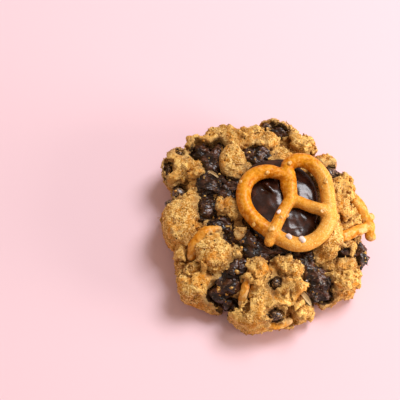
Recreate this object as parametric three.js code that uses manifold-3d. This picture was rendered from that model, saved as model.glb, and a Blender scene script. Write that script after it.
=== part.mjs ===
// A thick drop cookie: one baked lump of craggy dough with chocolate chunks, chocolate chips, broken
// pretzel and oat flakes set into it, and a whole mini pretzel pressed onto a melted chocolate drop.
// Units are millimetres, +Z is up, and the cookie lies on its flat baked underside at z = 0.
// +X is to the right and +Y is away from the front edge.

import * as THREE from "three";
import { mergeVertices } from "three/addons/utils/BufferGeometryUtils.js";
import Module from "manifold-3d";

const wasm = await Module();
wasm.setup();

// ---------- driving dimensions ----------

// Outline radius of the dough at every 15 degrees, counted from +X towards +Y.
const RIM_RADII = [
  39, 39.5, 38.5, 38, 38.5, 42, 44, 43.5, 45.5, 46, 46, 42.5,
  42, 41, 41, 41, 39, 42, 43, 40.5, 36.5, 39.5, 41.5, 41,
];
const MEAN_RADIUS = 42;
const BODY_SHARE = 0.93; // the smooth body stays this far inside the outline, and the clods reach it
const FOOT_SHARE = 0.86; // the flat underside against the body's widest section
const BELLY_HEIGHT = 8; // height of the widest section
const BODY_HEIGHT = 21; // crown of the smooth body under the clods
const BODY_SEGMENTS = 36;
const BIG_CLOD = 9; // clods longer than this from middle to end are faceted more finely
const SLIVER = 0.35; // facets closer to flat than this are merged

const FIT_GAP = 0.45; // clearance left around everything that is set into something else
const THROAT = 7; // how far a pocket is carried up, so that what sits in it shows from above

const DROP = { at: [4.5, 6.6, 20.5], size: [15.4, 19.4, 4.6], turn: 12, seed: 3.1, ripple: 0.05, detail: 3 };

// The mini pretzel: its own plane has x to the right and y towards the lobes' notch.
const PRETZEL_CENTRE = [6.4, 4.1, 25.7];
const PRETZEL_TILT = 5; // degrees, its belly lower than its lobes
const BELLY_ROPE = 2.95; // radius of the thick middle of the rope
const ARM_ROPE = 2.4; // radius of the rope's arms

// ---------- colours of the finishes ----------

const FINISH = {
  dough: { color: 0xd0a064, roughness: 0.9 },
  drop: { color: 0x3a221a, roughness: 0.3 },
  chunk: { color: 0x2a1a14, roughness: 0.45 },
  chip: { color: 0x2e1d16, roughness: 0.4 },
  pretzel: { color: 0xd98a24, roughness: 0.35 },
  oat: { color: 0xe0c490, roughness: 0.8 },
  salt: { color: 0xf6ece2, roughness: 0.25 },
};

// ---------- solids ----------

/** A closed geometry as a solid, with its shared corners merged. */
function solidOf(geometry) {
  const bare = geometry.index ? geometry.toNonIndexed() : geometry.clone();
  bare.deleteAttribute("normal");
  bare.deleteAttribute("uv");
  const merged = mergeVertices(bare, 1e-3);
  return new wasm.Manifold(
    new wasm.Mesh({
      numProp: 3,
      vertProperties: merged.attributes.position.array,
      triVerts: new Uint32Array(merged.index.array),
    }),
  );
}

/** A solid as a geometry with flat facets. */
function geometryOf(solid) {
  const mesh = solid.getMesh();
  const geometry = new THREE.BufferGeometry();
  geometry.setAttribute("position", new THREE.BufferAttribute(mesh.vertProperties, 3));
  geometry.setIndex(new THREE.BufferAttribute(mesh.triVerts, 1));
  const flat = geometry.toNonIndexed();
  flat.computeVertexNormals();
  return flat;
}

/** Moves every corner of a geometry with a function of its position. */
function reshape(geometry, move) {
  const corners = geometry.attributes.position;
  const point = new THREE.Vector3();
  for (let i = 0; i < corners.count; i++) {
    move(point.fromBufferAttribute(corners, i));
    corners.setXYZ(i, point.x, point.y, point.z);
  }
  return geometry;
}

/** Outline radius at an angle in radians, eased between the listed radii. */
function rimRadius(angle) {
  const turns = angle / (2 * Math.PI);
  const place = (turns - Math.floor(turns)) * RIM_RADII.length;
  const low = Math.floor(place);
  const share = place - low;
  const eased = share * share * (3 - 2 * share);
  const next = RIM_RADII[(low + 1) % RIM_RADII.length];
  return RIM_RADII[low % RIM_RADII.length] * (1 - eased) + next * eased;
}

/**
 * A knobbly ellipsoid: half-axes size, centred at at, turned by turn degrees about +Z. Its surface
 * swells and dips by ripple as three crossed waves. grow widens it, and throat draws its upper half up.
 */
function lump({ at, size, turn = 0, seed = 0, ripple = 0.09, detail = 1 }, grow = 0, throat = 0) {
  const [a, b, c] = size.map((half) => half + grow);
  const waves = (p) =>
    Math.sin(3.3 * p.x + seed) + Math.sin(2.9 * p.y + 1.7 * seed) + Math.sin(3.7 * p.z + 2.3 * seed);
  const ball = reshape(new THREE.IcosahedronGeometry(1, detail), (p) => {
    p.multiplyScalar(1 + (ripple * waves(p)) / 3);
    p.set(p.x * a, p.y * b, p.z * (p.z > 0 ? c + throat : c));
  });
  ball.rotateZ(THREE.MathUtils.degToRad(turn));
  ball.translate(...at);
  return solidOf(ball);
}

/** A round rope along a smooth curve through points, each [x, y, z]. */
function rope(points, radius, steps, grow = 0) {
  const around = 8;
  const section = new THREE.Shape();
  for (let i = 0; i < around; i++) {
    const angle = (2 * Math.PI * i) / around;
    const x = (radius + grow) * Math.cos(angle);
    const y = (radius + grow) * Math.sin(angle);
    if (i === 0) section.moveTo(x, y);
    else section.lineTo(x, y);
  }
  const path = new THREE.CatmullRomCurve3(points.map((p) => new THREE.Vector3(...p)));
  return solidOf(new THREE.ExtrudeGeometry(section, { steps, extrudePath: path, bevelEnabled: false }));
}

/** Joins a list of solids into one. */
function joined(solids) {
  return solids.reduce((whole, next) => whole.add(next));
}

// ---------- the dough ----------

// The big clods that the dough baked into. They reach the outline and give the top its crags.
const CLODS = [
  { at: [5.8, 41.6, 11], size: [9, 4.8, 7.8], turn: -22 }, // back ridge
  { at: [14.8, 34.2, 11.5], size: [6, 4.8, 7.5], turn: -38 },
  { at: [-3, 36.2, 14], size: [8.5, 6.5, 7] },
  { at: [-11, 35.5, 13.5], size: [5.5, 5.5, 6.5] },
  { at: [-18.5, 38.6, 11.5], size: [8, 5.2, 7.2], turn: 12 },
  { at: [-28.8, 35, 11], size: [5, 4, 7], turn: 45 },
  { at: [-13.6, 25.6, 18], size: [5.2, 7, 5.6], ripple: 0.04 }, // smooth oval clod
  { at: [-35.2, 24.6, 11.5], size: [7, 8.5, 8.5] }, // left lobe
  { at: [-28.8, 22, 15.2], size: [4.4, 4.6, 5] },
  { at: [-15, 3.6, 20.2], size: [6.6, 4.3, 3.9], turn: -30 },
  { at: [-30, 8.6, 16], size: [4.6, 4.2, 4.6] },
  { at: [-34.2, 1, 11.5], size: [7.8, 11, 9.5] }, // left side
  { at: [-20.8, -12.6, 16], size: [8.6, 9, 7], turn: 15 },
  { at: [-28.2, -23.6, 8.8], size: [8, 8.2, 8.4] },
  { at: [-18.8, -28.2, 5.4], size: [9, 6, 5.4] },
  { at: [-10.8, -6.8, 21.8], size: [2.5, 2.7, 2.6] },
  { at: [-12, -15.3, 21.4], size: [2.6, 2, 2.4] },
  { at: [-5.2, -22.2, 17.8], size: [6.2, 5.8, 5.6] },
  { at: [-6.5, -34.4, 8.4], size: [10, 8.8, 8.8] }, // front lobe
  { at: [5.5, -33.6, 8.4], size: [10, 7.8, 8.8] },
  { at: [12.8, -32.4, 6.4], size: [5.4, 5, 6.6] },
  { at: [8.6, -19.2, 18.8], size: [6.6, 4.8, 4.8] },
  { at: [8.4, -27.6, 14.8], size: [7.4, 4.6, 5.6] },
  { at: [24, -8.2, 17], size: [5.4, 8.5, 6.2] },
  { at: [29.2, -20.6, 8.8], size: [7, 7.8, 8.8] }, // right front lobe
  { at: [22.4, -26.4, 4.6], size: [6.8, 4.2, 4.6] },
  { at: [34.2, -12.4, 12], size: [5, 5.5, 6.5] },
  { at: [29.6, 13, 11.8], size: [5.8, 10.2, 9] }, // right side
  { at: [28.2, 5.2, 15.5], size: [5, 5.5, 5.6] },
  { at: [23.2, 26.2, 12.4], size: [4.8, 4, 6.2] },
  { at: [21, 18.6, 17.6], size: [4.2, 6.5, 4.8], turn: 20 },
  { at: [34.6, 3.4, 9.8], size: [5, 9, 6.2] }, // under the broken pretzel at the side
  { at: [-31.4, -14, 9], size: [5.6, 6, 8] },
  { at: [-23.6, 33.6, 15.6], size: [2.6, 3, 3.2] },
];

/** The smooth body: a lathed section with a flat foot, stretched out to the outline at each angle. */
function doughBody() {
  const widest = MEAN_RADIUS * BODY_SHARE;
  const foot = widest * FOOT_SHARE;
  const profile = [new THREE.Vector2(0, 0), new THREE.Vector2(foot * 0.6, 0)];
  const sideSteps = 3;
  for (let i = 0; i <= sideSteps; i++) {
    const angle = (Math.PI / 2) * (i / sideSteps);
    const out = foot + (widest - foot) * Math.sin(angle);
    profile.push(new THREE.Vector2(out, BELLY_HEIGHT * (1 - Math.cos(angle))));
  }
  const crownSteps = 8;
  for (let i = 1; i < crownSteps; i++) {
    const angle = (Math.PI / 2) * (i / crownSteps);
    const out = widest * Math.cos(angle) ** 0.7;
    profile.push(new THREE.Vector2(out, BELLY_HEIGHT + (BODY_HEIGHT - BELLY_HEIGHT) * Math.sin(angle)));
  }
  profile.push(new THREE.Vector2(0, BODY_HEIGHT));
  const lathe = new THREE.LatheGeometry(profile, BODY_SEGMENTS);
  lathe.rotateX(Math.PI / 2);
  return solidOf(
    reshape(lathe, (p) => {
      const stretch = rimRadius(Math.atan2(p.y, p.x)) / MEAN_RADIUS;
      p.set(p.x * stretch, p.y * stretch, p.z);
    }),
  );
}

/** Everything that lies lower than the tray the cookie was baked on. */
function belowTheTray() {
  const depth = 20;
  const slab = new THREE.BoxGeometry(200, 200, depth);
  slab.translate(0, 0, -depth / 2);
  return solidOf(slab);
}

// ---------- what is set into the dough ----------

// Chopped chocolate, melted into the valleys between the clods.
const CHUNKS = [
  { at: [-26.4, 31.2, 13.2], size: [4.2, 3.2, 4.4], turn: 30 },
  { at: [-22, 24.8, 16.2], size: [3.4, 5, 4] },
  { at: [-19.6, 31.6, 14.8], size: [2.8, 3, 3.6] },
  { at: [-22.8, 15, 18], size: [4, 3.8, 4.2] },
  { at: [-15.6, 13.2, 19.8], size: [5, 3.8, 4] },
  { at: [-23.4, 5.6, 17.8], size: [3.4, 4, 4.2] },
  { at: [-18.8, -2, 18.4], size: [4.6, 2.5, 3.6], turn: -28 },
  { at: [-14.4, -7, 18.2], size: [2.8, 3.4, 3.6], turn: -30 },
  { at: [-6.6, -9.6, 20.2], size: [3.4, 3.4, 3.8] },
  { at: [-3, -14.6, 20.2], size: [3.2, 2, 3.2] },
  { at: [4.4, -13.2, 19.8], size: [3.4, 2.2, 3.2] },
  { at: [-12.2, -19.6, 17.8], size: [2.4, 2.6, 3.6] },
  { at: [-15.6, -25.2, 14.6], size: [4, 3.2, 4.4], turn: 30 },
  { at: [-20.2, -28.8, 10.4], size: [3, 2.8, 4] },
  { at: [-15.4, -32.4, 7.6], size: [4.4, 2.4, 3.2] },
  { at: [-4, 28.8, 17.4], size: [4.2, 2.4, 3.6] },
  { at: [13.4, -15.8, 18.6], size: [3.2, 3.4, 4] },
  { at: [17.8, -22, 15.8], size: [3.4, 3, 4] },
  { at: [21, -26.2, 12.2], size: [3, 2.8, 4] },
  { at: [17.4, -29.2, 10], size: [3, 2.2, 3.6] },
  { at: [22, -28.8, 7.8], size: [3, 1.8, 3] },
  { at: [37.6, -12.6, 10.4], size: [2.2, 4.6, 4] },
  { at: [29.6, -12.8, 15.6], size: [1.8, 1.6, 3] },
  { at: [5.4, 40.6, 15.4], size: [3.2, 1.6, 3], turn: -30 },
];

// Small chips that poke out whole.
const CHIPS = [
  { at: [26.2, 21.6, 16.4], size: [3, 2.7, 3.4] },
  { at: [0.8, 43, 16.8], size: [1.8, 1.5, 2] },
  { at: [-35.4, 14.2, 13], size: [2.4, 2.4, 2.8] },
  { at: [-39, 10, 11.4], size: [2, 1.8, 2.6] },
  { at: [2.4, -37.8, 12.6], size: [3, 1.8, 2.4] },
  { at: [2.6, -26.4, 17.4], size: [2.2, 1.7, 2.4] },
  { at: [19.8, 22.8, 19.2], size: [1.9, 2.2, 2] },
  { at: [-39.4, 23.6, 13.6], size: [1.5, 2.8, 2.6] },
  { at: [-35, 29.2, 17], size: [1.5, 1.2, 1.6] },
];

// Broken pretzel: each piece is a list of ropes, and each rope a radius and the points it runs through.
const FRAGMENTS = {
  pretzel_fragment_side: [
    { radius: 2.2, through: [[27, -7.4, 16.8], [32.6, -4.6, 15.8], [38.4, -1, 13.4]] },
    { radius: 2.4, through: [[40.6, -4, 11.8], [40, 0.4, 12.4], [37.4, 6.2, 13.8], [33.6, 11.6, 15], [29.4, 15.8, 16.2]] },
    { radius: 2, through: [[38, 2.4, 13], [41, 4, 11.8]] },
  ],
  pretzel_fragment_left: [
    { radius: 2.6, through: [[-30.6, -14.6, 14.6], [-28.6, -9.8, 17], [-24.6, -5.6, 18.8], [-19.6, -4.4, 19.2]] },
  ],
  pretzel_fragment_middle: [
    { radius: 1.8, through: [[-10.8, -33.2, 13.4], [-9.6, -29.2, 16.6], [-8.4, -25.4, 18.8]] },
  ],
  pretzel_fragment_front: [
    { radius: 1.6, through: [[-0.4, -40.3, 8.4], [3.6, -40.5, 8.8], [7.6, -38.8, 9.6]] },
  ],
};

const OAT_FLAKES = [
  { at: [14, -31, 13], size: [0.8, 3.8, 0.9], turn: 34 },
  { at: [-21.6, 18.8, 20.6], size: [2.4, 0.8, 0.9], turn: -35 },
];

/** Ropes joined into one piece of pretzel. */
function fragment(ropes, grow = 0) {
  return joined(
    ropes.map(({ radius, through }) => rope(lengthened(through, grow), radius, 3 * through.length, grow)),
  );
}

/** The same points with both ends drawn out by a distance. */
function lengthened(points, distance) {
  const ends = points.map((p) => new THREE.Vector3(...p));
  const last = ends.length - 1;
  const pull = (end, inner) => end.add(end.clone().sub(inner).setLength(distance));
  if (distance > 0) {
    pull(ends[0], ends[1].clone());
    pull(ends[last], ends[last - 1].clone());
  }
  return ends.map((p) => p.toArray());
}

// ---------- the mini pretzel ----------

// The rope's middle: up round one lobe, along the belly and round the other lobe, notch to notch.
const LOOP = [
  [1.2, 11.6, 0], [-2.8, 12.5, 0], [-7.2, 13.2, 0], [-11.7, 11.7, 0], [-15, 8.3, 0], [-16.2, 3.6, 0],
  [-15.2, -2.1, 0], [-11.6, -7.1, 0], [-7.4, -10.8, 0], [-4.4, -13, 0], [-0.5, -15.4, 0], [4.8, -17, 0],
  [10.3, -15.6, 0], [14.6, -11.9, 0], [16.9, -7.4, 0], [17.2, -3.6, 0], [16.8, 0.5, 0], [16.4, 5.7, 0],
  [15, 11, 0], [12, 15.1, 0], [8.4, 17.4, 0], [4.8, 17.6, 0], [1.9, 16.2, 0], [0.7, 13.4, 0], [1.4, 10.4, 0],
];
// The rope's two arms: from the notch down the twist, apart at the crossing, and onto the belly.
const LEFT_ARM = [
  [2.2, 12.4, 0], [2.4, 6.4, 0.6], [2, 1.6, 0.8], [-0.3, -2.6, 0.4], [-3.1, -8.2, 0.5], [-4.7, -12, 1.6], [-6.4, -15.9, 0.4],
];
const RIGHT_ARM = [
  [0.2, 11.6, 0], [0.9, 6.4, -0.4], [2.6, 1.4, -0.5], [5.6, 0.2, 0.2], [10, -1.6, 0.4], [14.2, -3.3, 1.4], [18.9, -6, 0.4],
];
// Coarse salt on the pretzel: across, along, the crystal's width and its turn about +Z.
const SALT = [
  [-5.6, -11.8, 2, 20], [-2.6, -4.4, 1.3, 50], [-2, -6.8, 1.4, 10], [0.7, -5.6, 1.2, 35],
  [1.1, -14.6, 1.9, -50], [6.2, -15.8, 2.1, -52], [15.9, 8.2, 1.8, 75], [-12.2, -9.4, 1.4, 40],
  [-6.8, 11.8, 1.4, 60], [-17, 8, 1.3, 5], [14.2, -4.4, 1.6, 30], [2, 15.6, 1.4, 45],
];

/** Puts a solid or geometry of the pretzel's own plane where the pretzel lies on the cookie. */
function laidOnTop(geometry) {
  geometry.rotateX(THREE.MathUtils.degToRad(PRETZEL_TILT));
  geometry.translate(...PRETZEL_CENTRE);
  return geometry;
}

/** The whole pretzel: the loop and both arms pressed into one piece. */
function miniPretzel(grow = 0) {
  const flat = joined([
    rope(LOOP, BELLY_ROPE, 48, grow),
    rope(lengthened(LEFT_ARM, grow), ARM_ROPE, 12, grow),
    rope(lengthened(RIGHT_ARM, grow), ARM_ROPE, 12, grow),
  ]);
  return solidOf(laidOnTop(geometryOf(flat)));
}

/** One salt crystal: a worn block sunk a third of the way into the top of the rope. */
function saltCrystal([across, along, width, turn], grow = 0) {
  const side = width + 2 * grow;
  const cube = new THREE.BoxGeometry(side * 1.3, side * 0.9, side * 0.8);
  cube.rotateZ(THREE.MathUtils.degToRad(turn));
  cube.translate(across, along, saltHeight(across, along) + width * 0.1);
  return solidOf(laidOnTop(cube));
}

/** Height of the rope's crown over the pretzel's own plane, for a crystal at a place on it. */
function saltHeight(across, along) {
  const strands = [[LOOP, BELLY_ROPE], [LEFT_ARM, ARM_ROPE], [RIGHT_ARM, ARM_ROPE]];
  let crown = 0;
  for (const [points, radius] of strands) {
    const path = new THREE.CatmullRomCurve3(points.map((p) => new THREE.Vector3(...p)));
    for (const p of path.getPoints(200)) {
      const off = Math.hypot(p.x - across, p.y - along);
      if (off < radius) crown = Math.max(crown, p.z + Math.sqrt(radius * radius - off * off));
    }
  }
  return crown;
}

// ---------- assembly ----------

const cookie = new THREE.Group();

/** Adds a solid to the cookie as a named mesh with its finish. */
function addPiece(name, solid, finish) {
  const material = new THREE.MeshStandardMaterial({ ...FINISH[finish], metalness: 0 });
  const mesh = new THREE.Mesh(geometryOf(solid), material);
  mesh.name = name;
  cookie.add(mesh);
}

/** Two-digit number for the name of a repeated piece. */
const numbered = (stem, i) => `${stem}_${String(i + 1).padStart(2, "0")}`;

const pretzelPocket = miniPretzel(FIT_GAP);
const taken = [pretzelPocket]; // the room of each piece already placed, which later pieces keep clear of

/** Cuts from a solid everything that earlier pieces take up. */
function clearOfOthers(solid) {
  return taken.reduce((left, room) => left.subtract(room), solid);
}

/** The largest connected part of a solid, without crumbs that a cut may leave. */
function largestPart(solid) {
  return solid.decompose().sort((a, b) => b.volume() - a.volume())[0];
}

const saltPockets = SALT.map((crystal) => saltCrystal(crystal, FIT_GAP));
addPiece("top_pretzel", largestPart(saltPockets.reduce((left, p) => left.subtract(p), miniPretzel())), "pretzel");
SALT.forEach((crystal, i) => addPiece(numbered("salt_crystal", i), saltCrystal(crystal), "salt"));

const pockets = [pretzelPocket];

for (const [name, ropes] of Object.entries(FRAGMENTS)) {
  addPiece(name, largestPart(clearOfOthers(fragment(ropes))), "pretzel");
  taken.push(fragment(ropes, FIT_GAP));
  pockets.push(fragment(ropes, FIT_GAP));
}

/** Adds a list of set-in lumps, each cut clear of what is there and given a pocket in the dough. */
function addSetIn(stem, list, finish) {
  list.forEach((spec, i) => {
    const settings = { seed: i * 1.3 + 0.4, ...spec };
    addPiece(numbered(stem, i), largestPart(clearOfOthers(lump(settings))), finish);
    taken.push(lump(settings, FIT_GAP));
    pockets.push(lump(settings, FIT_GAP, THROAT));
  });
}

addPiece("chocolate_drop", largestPart(clearOfOthers(lump(DROP))), "drop");
taken.push(lump(DROP, FIT_GAP));
pockets.push(lump(DROP, FIT_GAP, THROAT));

addSetIn("chocolate_chip", CHIPS, "chip");
addSetIn("oat_flake", OAT_FLAKES, "oat");
addSetIn("chocolate_chunk", CHUNKS, "chunk");

const clods = CLODS.map((clod, i) =>
  lump({ seed: i * 0.9, detail: Math.max(...clod.size) > BIG_CLOD ? 2 : 1, ...clod }),
);
const wholeDough = joined([doughBody(), ...clods]).subtract(belowTheTray()).simplify(SLIVER);
const dough = pockets.reduce((left, pocket) => left.subtract(pocket), wholeDough);
addPiece("cookie_dough", largestPart(dough), "dough");

// The origin is the middle of the whole cookie's footprint, on the surface that it lies on.
const room = new THREE.Box3().setFromObject(cookie);
const middle = room.getCenter(new THREE.Vector3());
cookie.position.set(-middle.x, -middle.y, -room.min.z);

export default cookie;
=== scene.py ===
"""A thick oat cookie with melted chocolate, and a mini pretzel pressed onto its top.

The dough is one field of signed distances, worked out on a cube lattice from the clods it baked into and
turned into a surface. The chocolate, the pretzel and its broken pieces are made the same way, each as a
piece of its own. Lengths are millimetres until a mesh is made. +Z is up, and the cookie lies on z = 0.
"""

import logging
import math
from dataclasses import dataclass, field
from enum import Enum
from typing import Any, Callable, Iterable, Optional

import bpy
import numpy as np
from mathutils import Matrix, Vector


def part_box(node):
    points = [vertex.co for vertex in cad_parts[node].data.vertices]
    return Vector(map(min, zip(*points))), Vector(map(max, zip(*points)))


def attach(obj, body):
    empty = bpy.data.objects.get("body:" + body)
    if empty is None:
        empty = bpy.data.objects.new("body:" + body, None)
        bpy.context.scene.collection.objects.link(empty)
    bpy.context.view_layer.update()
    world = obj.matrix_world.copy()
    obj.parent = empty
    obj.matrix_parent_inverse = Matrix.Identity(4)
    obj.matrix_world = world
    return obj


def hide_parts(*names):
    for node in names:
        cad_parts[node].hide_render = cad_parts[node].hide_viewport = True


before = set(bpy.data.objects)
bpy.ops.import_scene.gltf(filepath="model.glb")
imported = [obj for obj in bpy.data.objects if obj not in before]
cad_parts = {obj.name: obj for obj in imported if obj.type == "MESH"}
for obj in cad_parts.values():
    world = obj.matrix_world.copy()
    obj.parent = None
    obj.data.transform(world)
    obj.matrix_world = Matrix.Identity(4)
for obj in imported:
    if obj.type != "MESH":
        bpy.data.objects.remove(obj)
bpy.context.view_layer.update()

logging.basicConfig(level=logging.INFO, format="%(message)s")
log = logging.getLogger("cookie")

Array = np.ndarray
Triple = tuple[float, float, float]
Pair = tuple[float, float]

MM = 0.001  # metres in a millimetre
BODY = "root"  # the one body that every piece rides on
FOOTPRINT_MIDDLE = (0.377, 2.126)  # middle of the whole footprint, in the coordinates of the lists below


class Slot(Enum):
    """The record's material slots."""

    DOUGH = "dough"
    DROP = "chocolate_drop"
    CHUNK = "chocolate_chunk"
    CHIP = "chocolate_chip"
    PRETZEL = "pretzel"
    OAT = "oat"
    SALT = "salt"


# ---------- numbers ----------


def in_frame(places: Iterable[Triple]) -> Array:
    """Places of the lists below as rows, moved so that the footprint's middle is the origin."""
    return np.array(list(places), float) - (*FOOTPRINT_MIDDLE, 0.0)


def node_box(node: str) -> tuple[Array, Array]:
    """Centre and half-size of a CAD node's box, in millimetres."""
    low, high = (np.array(corner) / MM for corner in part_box(node))
    return (low + high) / 2, (high - low) / 2


def length(vectors: Array) -> Array:
    """Lengths of vectors held along the last axis."""
    return np.sqrt(np.einsum("...i,...i->...", vectors, vectors))


def smooth_step(x: Array, low: float, high: float) -> Array:
    """0 below low, 1 above high, and the curve 3t^2 - 2t^3 between them."""
    t = np.clip((x - low) / (high - low), 0.0, 1.0)
    return t * t * (3.0 - 2.0 * t)


def about_z(points: Array, degrees: float) -> Array:
    """Points turned about the upright axis.

    Args:
        points: Rows of x, y and z.
        degrees: The turn, anticlockwise seen from above.

    Returns:
        The turned points.
    """
    angle = math.radians(degrees)
    c, s = math.cos(angle), math.sin(angle)
    return points @ np.array([[c, s, 0.0], [-s, c, 0.0], [0.0, 0.0, 1.0]], points.dtype)


class Noise:
    """Gradient noise and scattered grains on a cube lattice that repeats after a number of cells."""

    PERIOD = 64
    STRENGTH = 1.6  # brings the waves to about -1 to 1

    def __init__(self, seed: int) -> None:
        """Draws a random direction, grain centre and grain value for each cell of the lattice.

        Args:
            seed: Which random numbers are drawn.
        """
        rng = np.random.default_rng(seed)
        count = self.PERIOD**3
        directions = rng.normal(size=(count, 3))
        self.directions = (directions / np.linalg.norm(directions, axis=1, keepdims=True)).astype(np.float32)
        self.centres = rng.uniform(0.15, 0.85, size=(count, 3)).astype(np.float32)
        self.values = rng.uniform(size=count).astype(np.float32)

    def _cell(self, corner: Array) -> Array:
        """Row numbers of lattice cells, given as whole-number triples."""
        wrapped = corner & (self.PERIOD - 1)
        return (wrapped[..., 0] * self.PERIOD + wrapped[..., 1]) * self.PERIOD + wrapped[..., 2]

    def wave(self, points: Array, size: float) -> Array:
        """Noise from about -1 to 1 whose swells are about size millimetres wide.

        At each corner of its cell a point gets the dot product of the corner's direction with its offset from
        that corner. The eight products are blended with the curve 6t^5 - 15t^4 + 10t^3 along each axis.

        Args:
            points: Array whose last axis holds x, y and z.
            size: Edge of a lattice cell.

        Returns:
            One value for each point.
        """
        place = (points / size).astype(np.float32)
        base = np.floor(place).astype(np.int32)
        share = place - base.astype(np.float32)
        ease = share**3 * (share * (share * 6.0 - 15.0) + 10.0)
        total = np.zeros(points.shape[:-1], np.float32)
        for step in np.ndindex(2, 2, 2):
            corner = np.array(step)
            sides = np.where(corner, ease, 1.0 - ease)
            weight = sides[..., 0] * sides[..., 1] * sides[..., 2]
            offset = share - corner.astype(np.float32)
            total += weight * np.einsum("...i,...i->...", self.directions[self._cell(base + corner)], offset)
        return total * self.STRENGTH

    def fractal(self, points: Array, size: float, octaves: int = 3) -> Array:
        """Waves of size, half of it, and so on, each half as strong as the one before."""
        layers = [self.wave(points + 17.3 * i, size / 2**i) / 2**i for i in range(octaves)]
        return sum(layers)

    def drift(self, points: Array, size: float) -> Array:
        """A direction at each point, up to about 1 long, that changes over size."""
        return np.stack([self.wave(points + shift, size) for shift in (0.0, 31.7, 63.1)], axis=-1)

    def warp(self, points: Array, size: float, reach: float) -> Array:
        """Points moved by up to about reach, in a direction that changes over size."""
        return points + reach * self.drift(points, size)

    def grains(self, points: Array, size: float) -> tuple[Array, Array, Array]:
        """Distances to the two nearest of the grain centres scattered one to a cell.

        Args:
            points: Array whose last axis holds x, y and z.
            size: Edge of a lattice cell, which is about the grains' spacing.

        Returns:
            Nearest distance, second distance (both as a share of size) and the nearest grain's own value.
        """
        place = (points / size).astype(np.float32)
        base = np.floor(place).astype(np.int32)
        first = np.full(points.shape[:-1], 9.0, np.float32)
        second = first.copy()
        value = np.zeros_like(first)
        for step in np.ndindex(3, 3, 3):
            corner = base + (np.array(step, np.int32) - 1)
            cell = self._cell(corner)
            away = length(corner.astype(np.float32) + self.centres[cell] - place)
            nearer = away < first
            second = np.where(nearer, first, np.minimum(second, away))
            value = np.where(nearer, self.values[cell], value)
            first = np.minimum(first, away)
        return first, second, value


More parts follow.
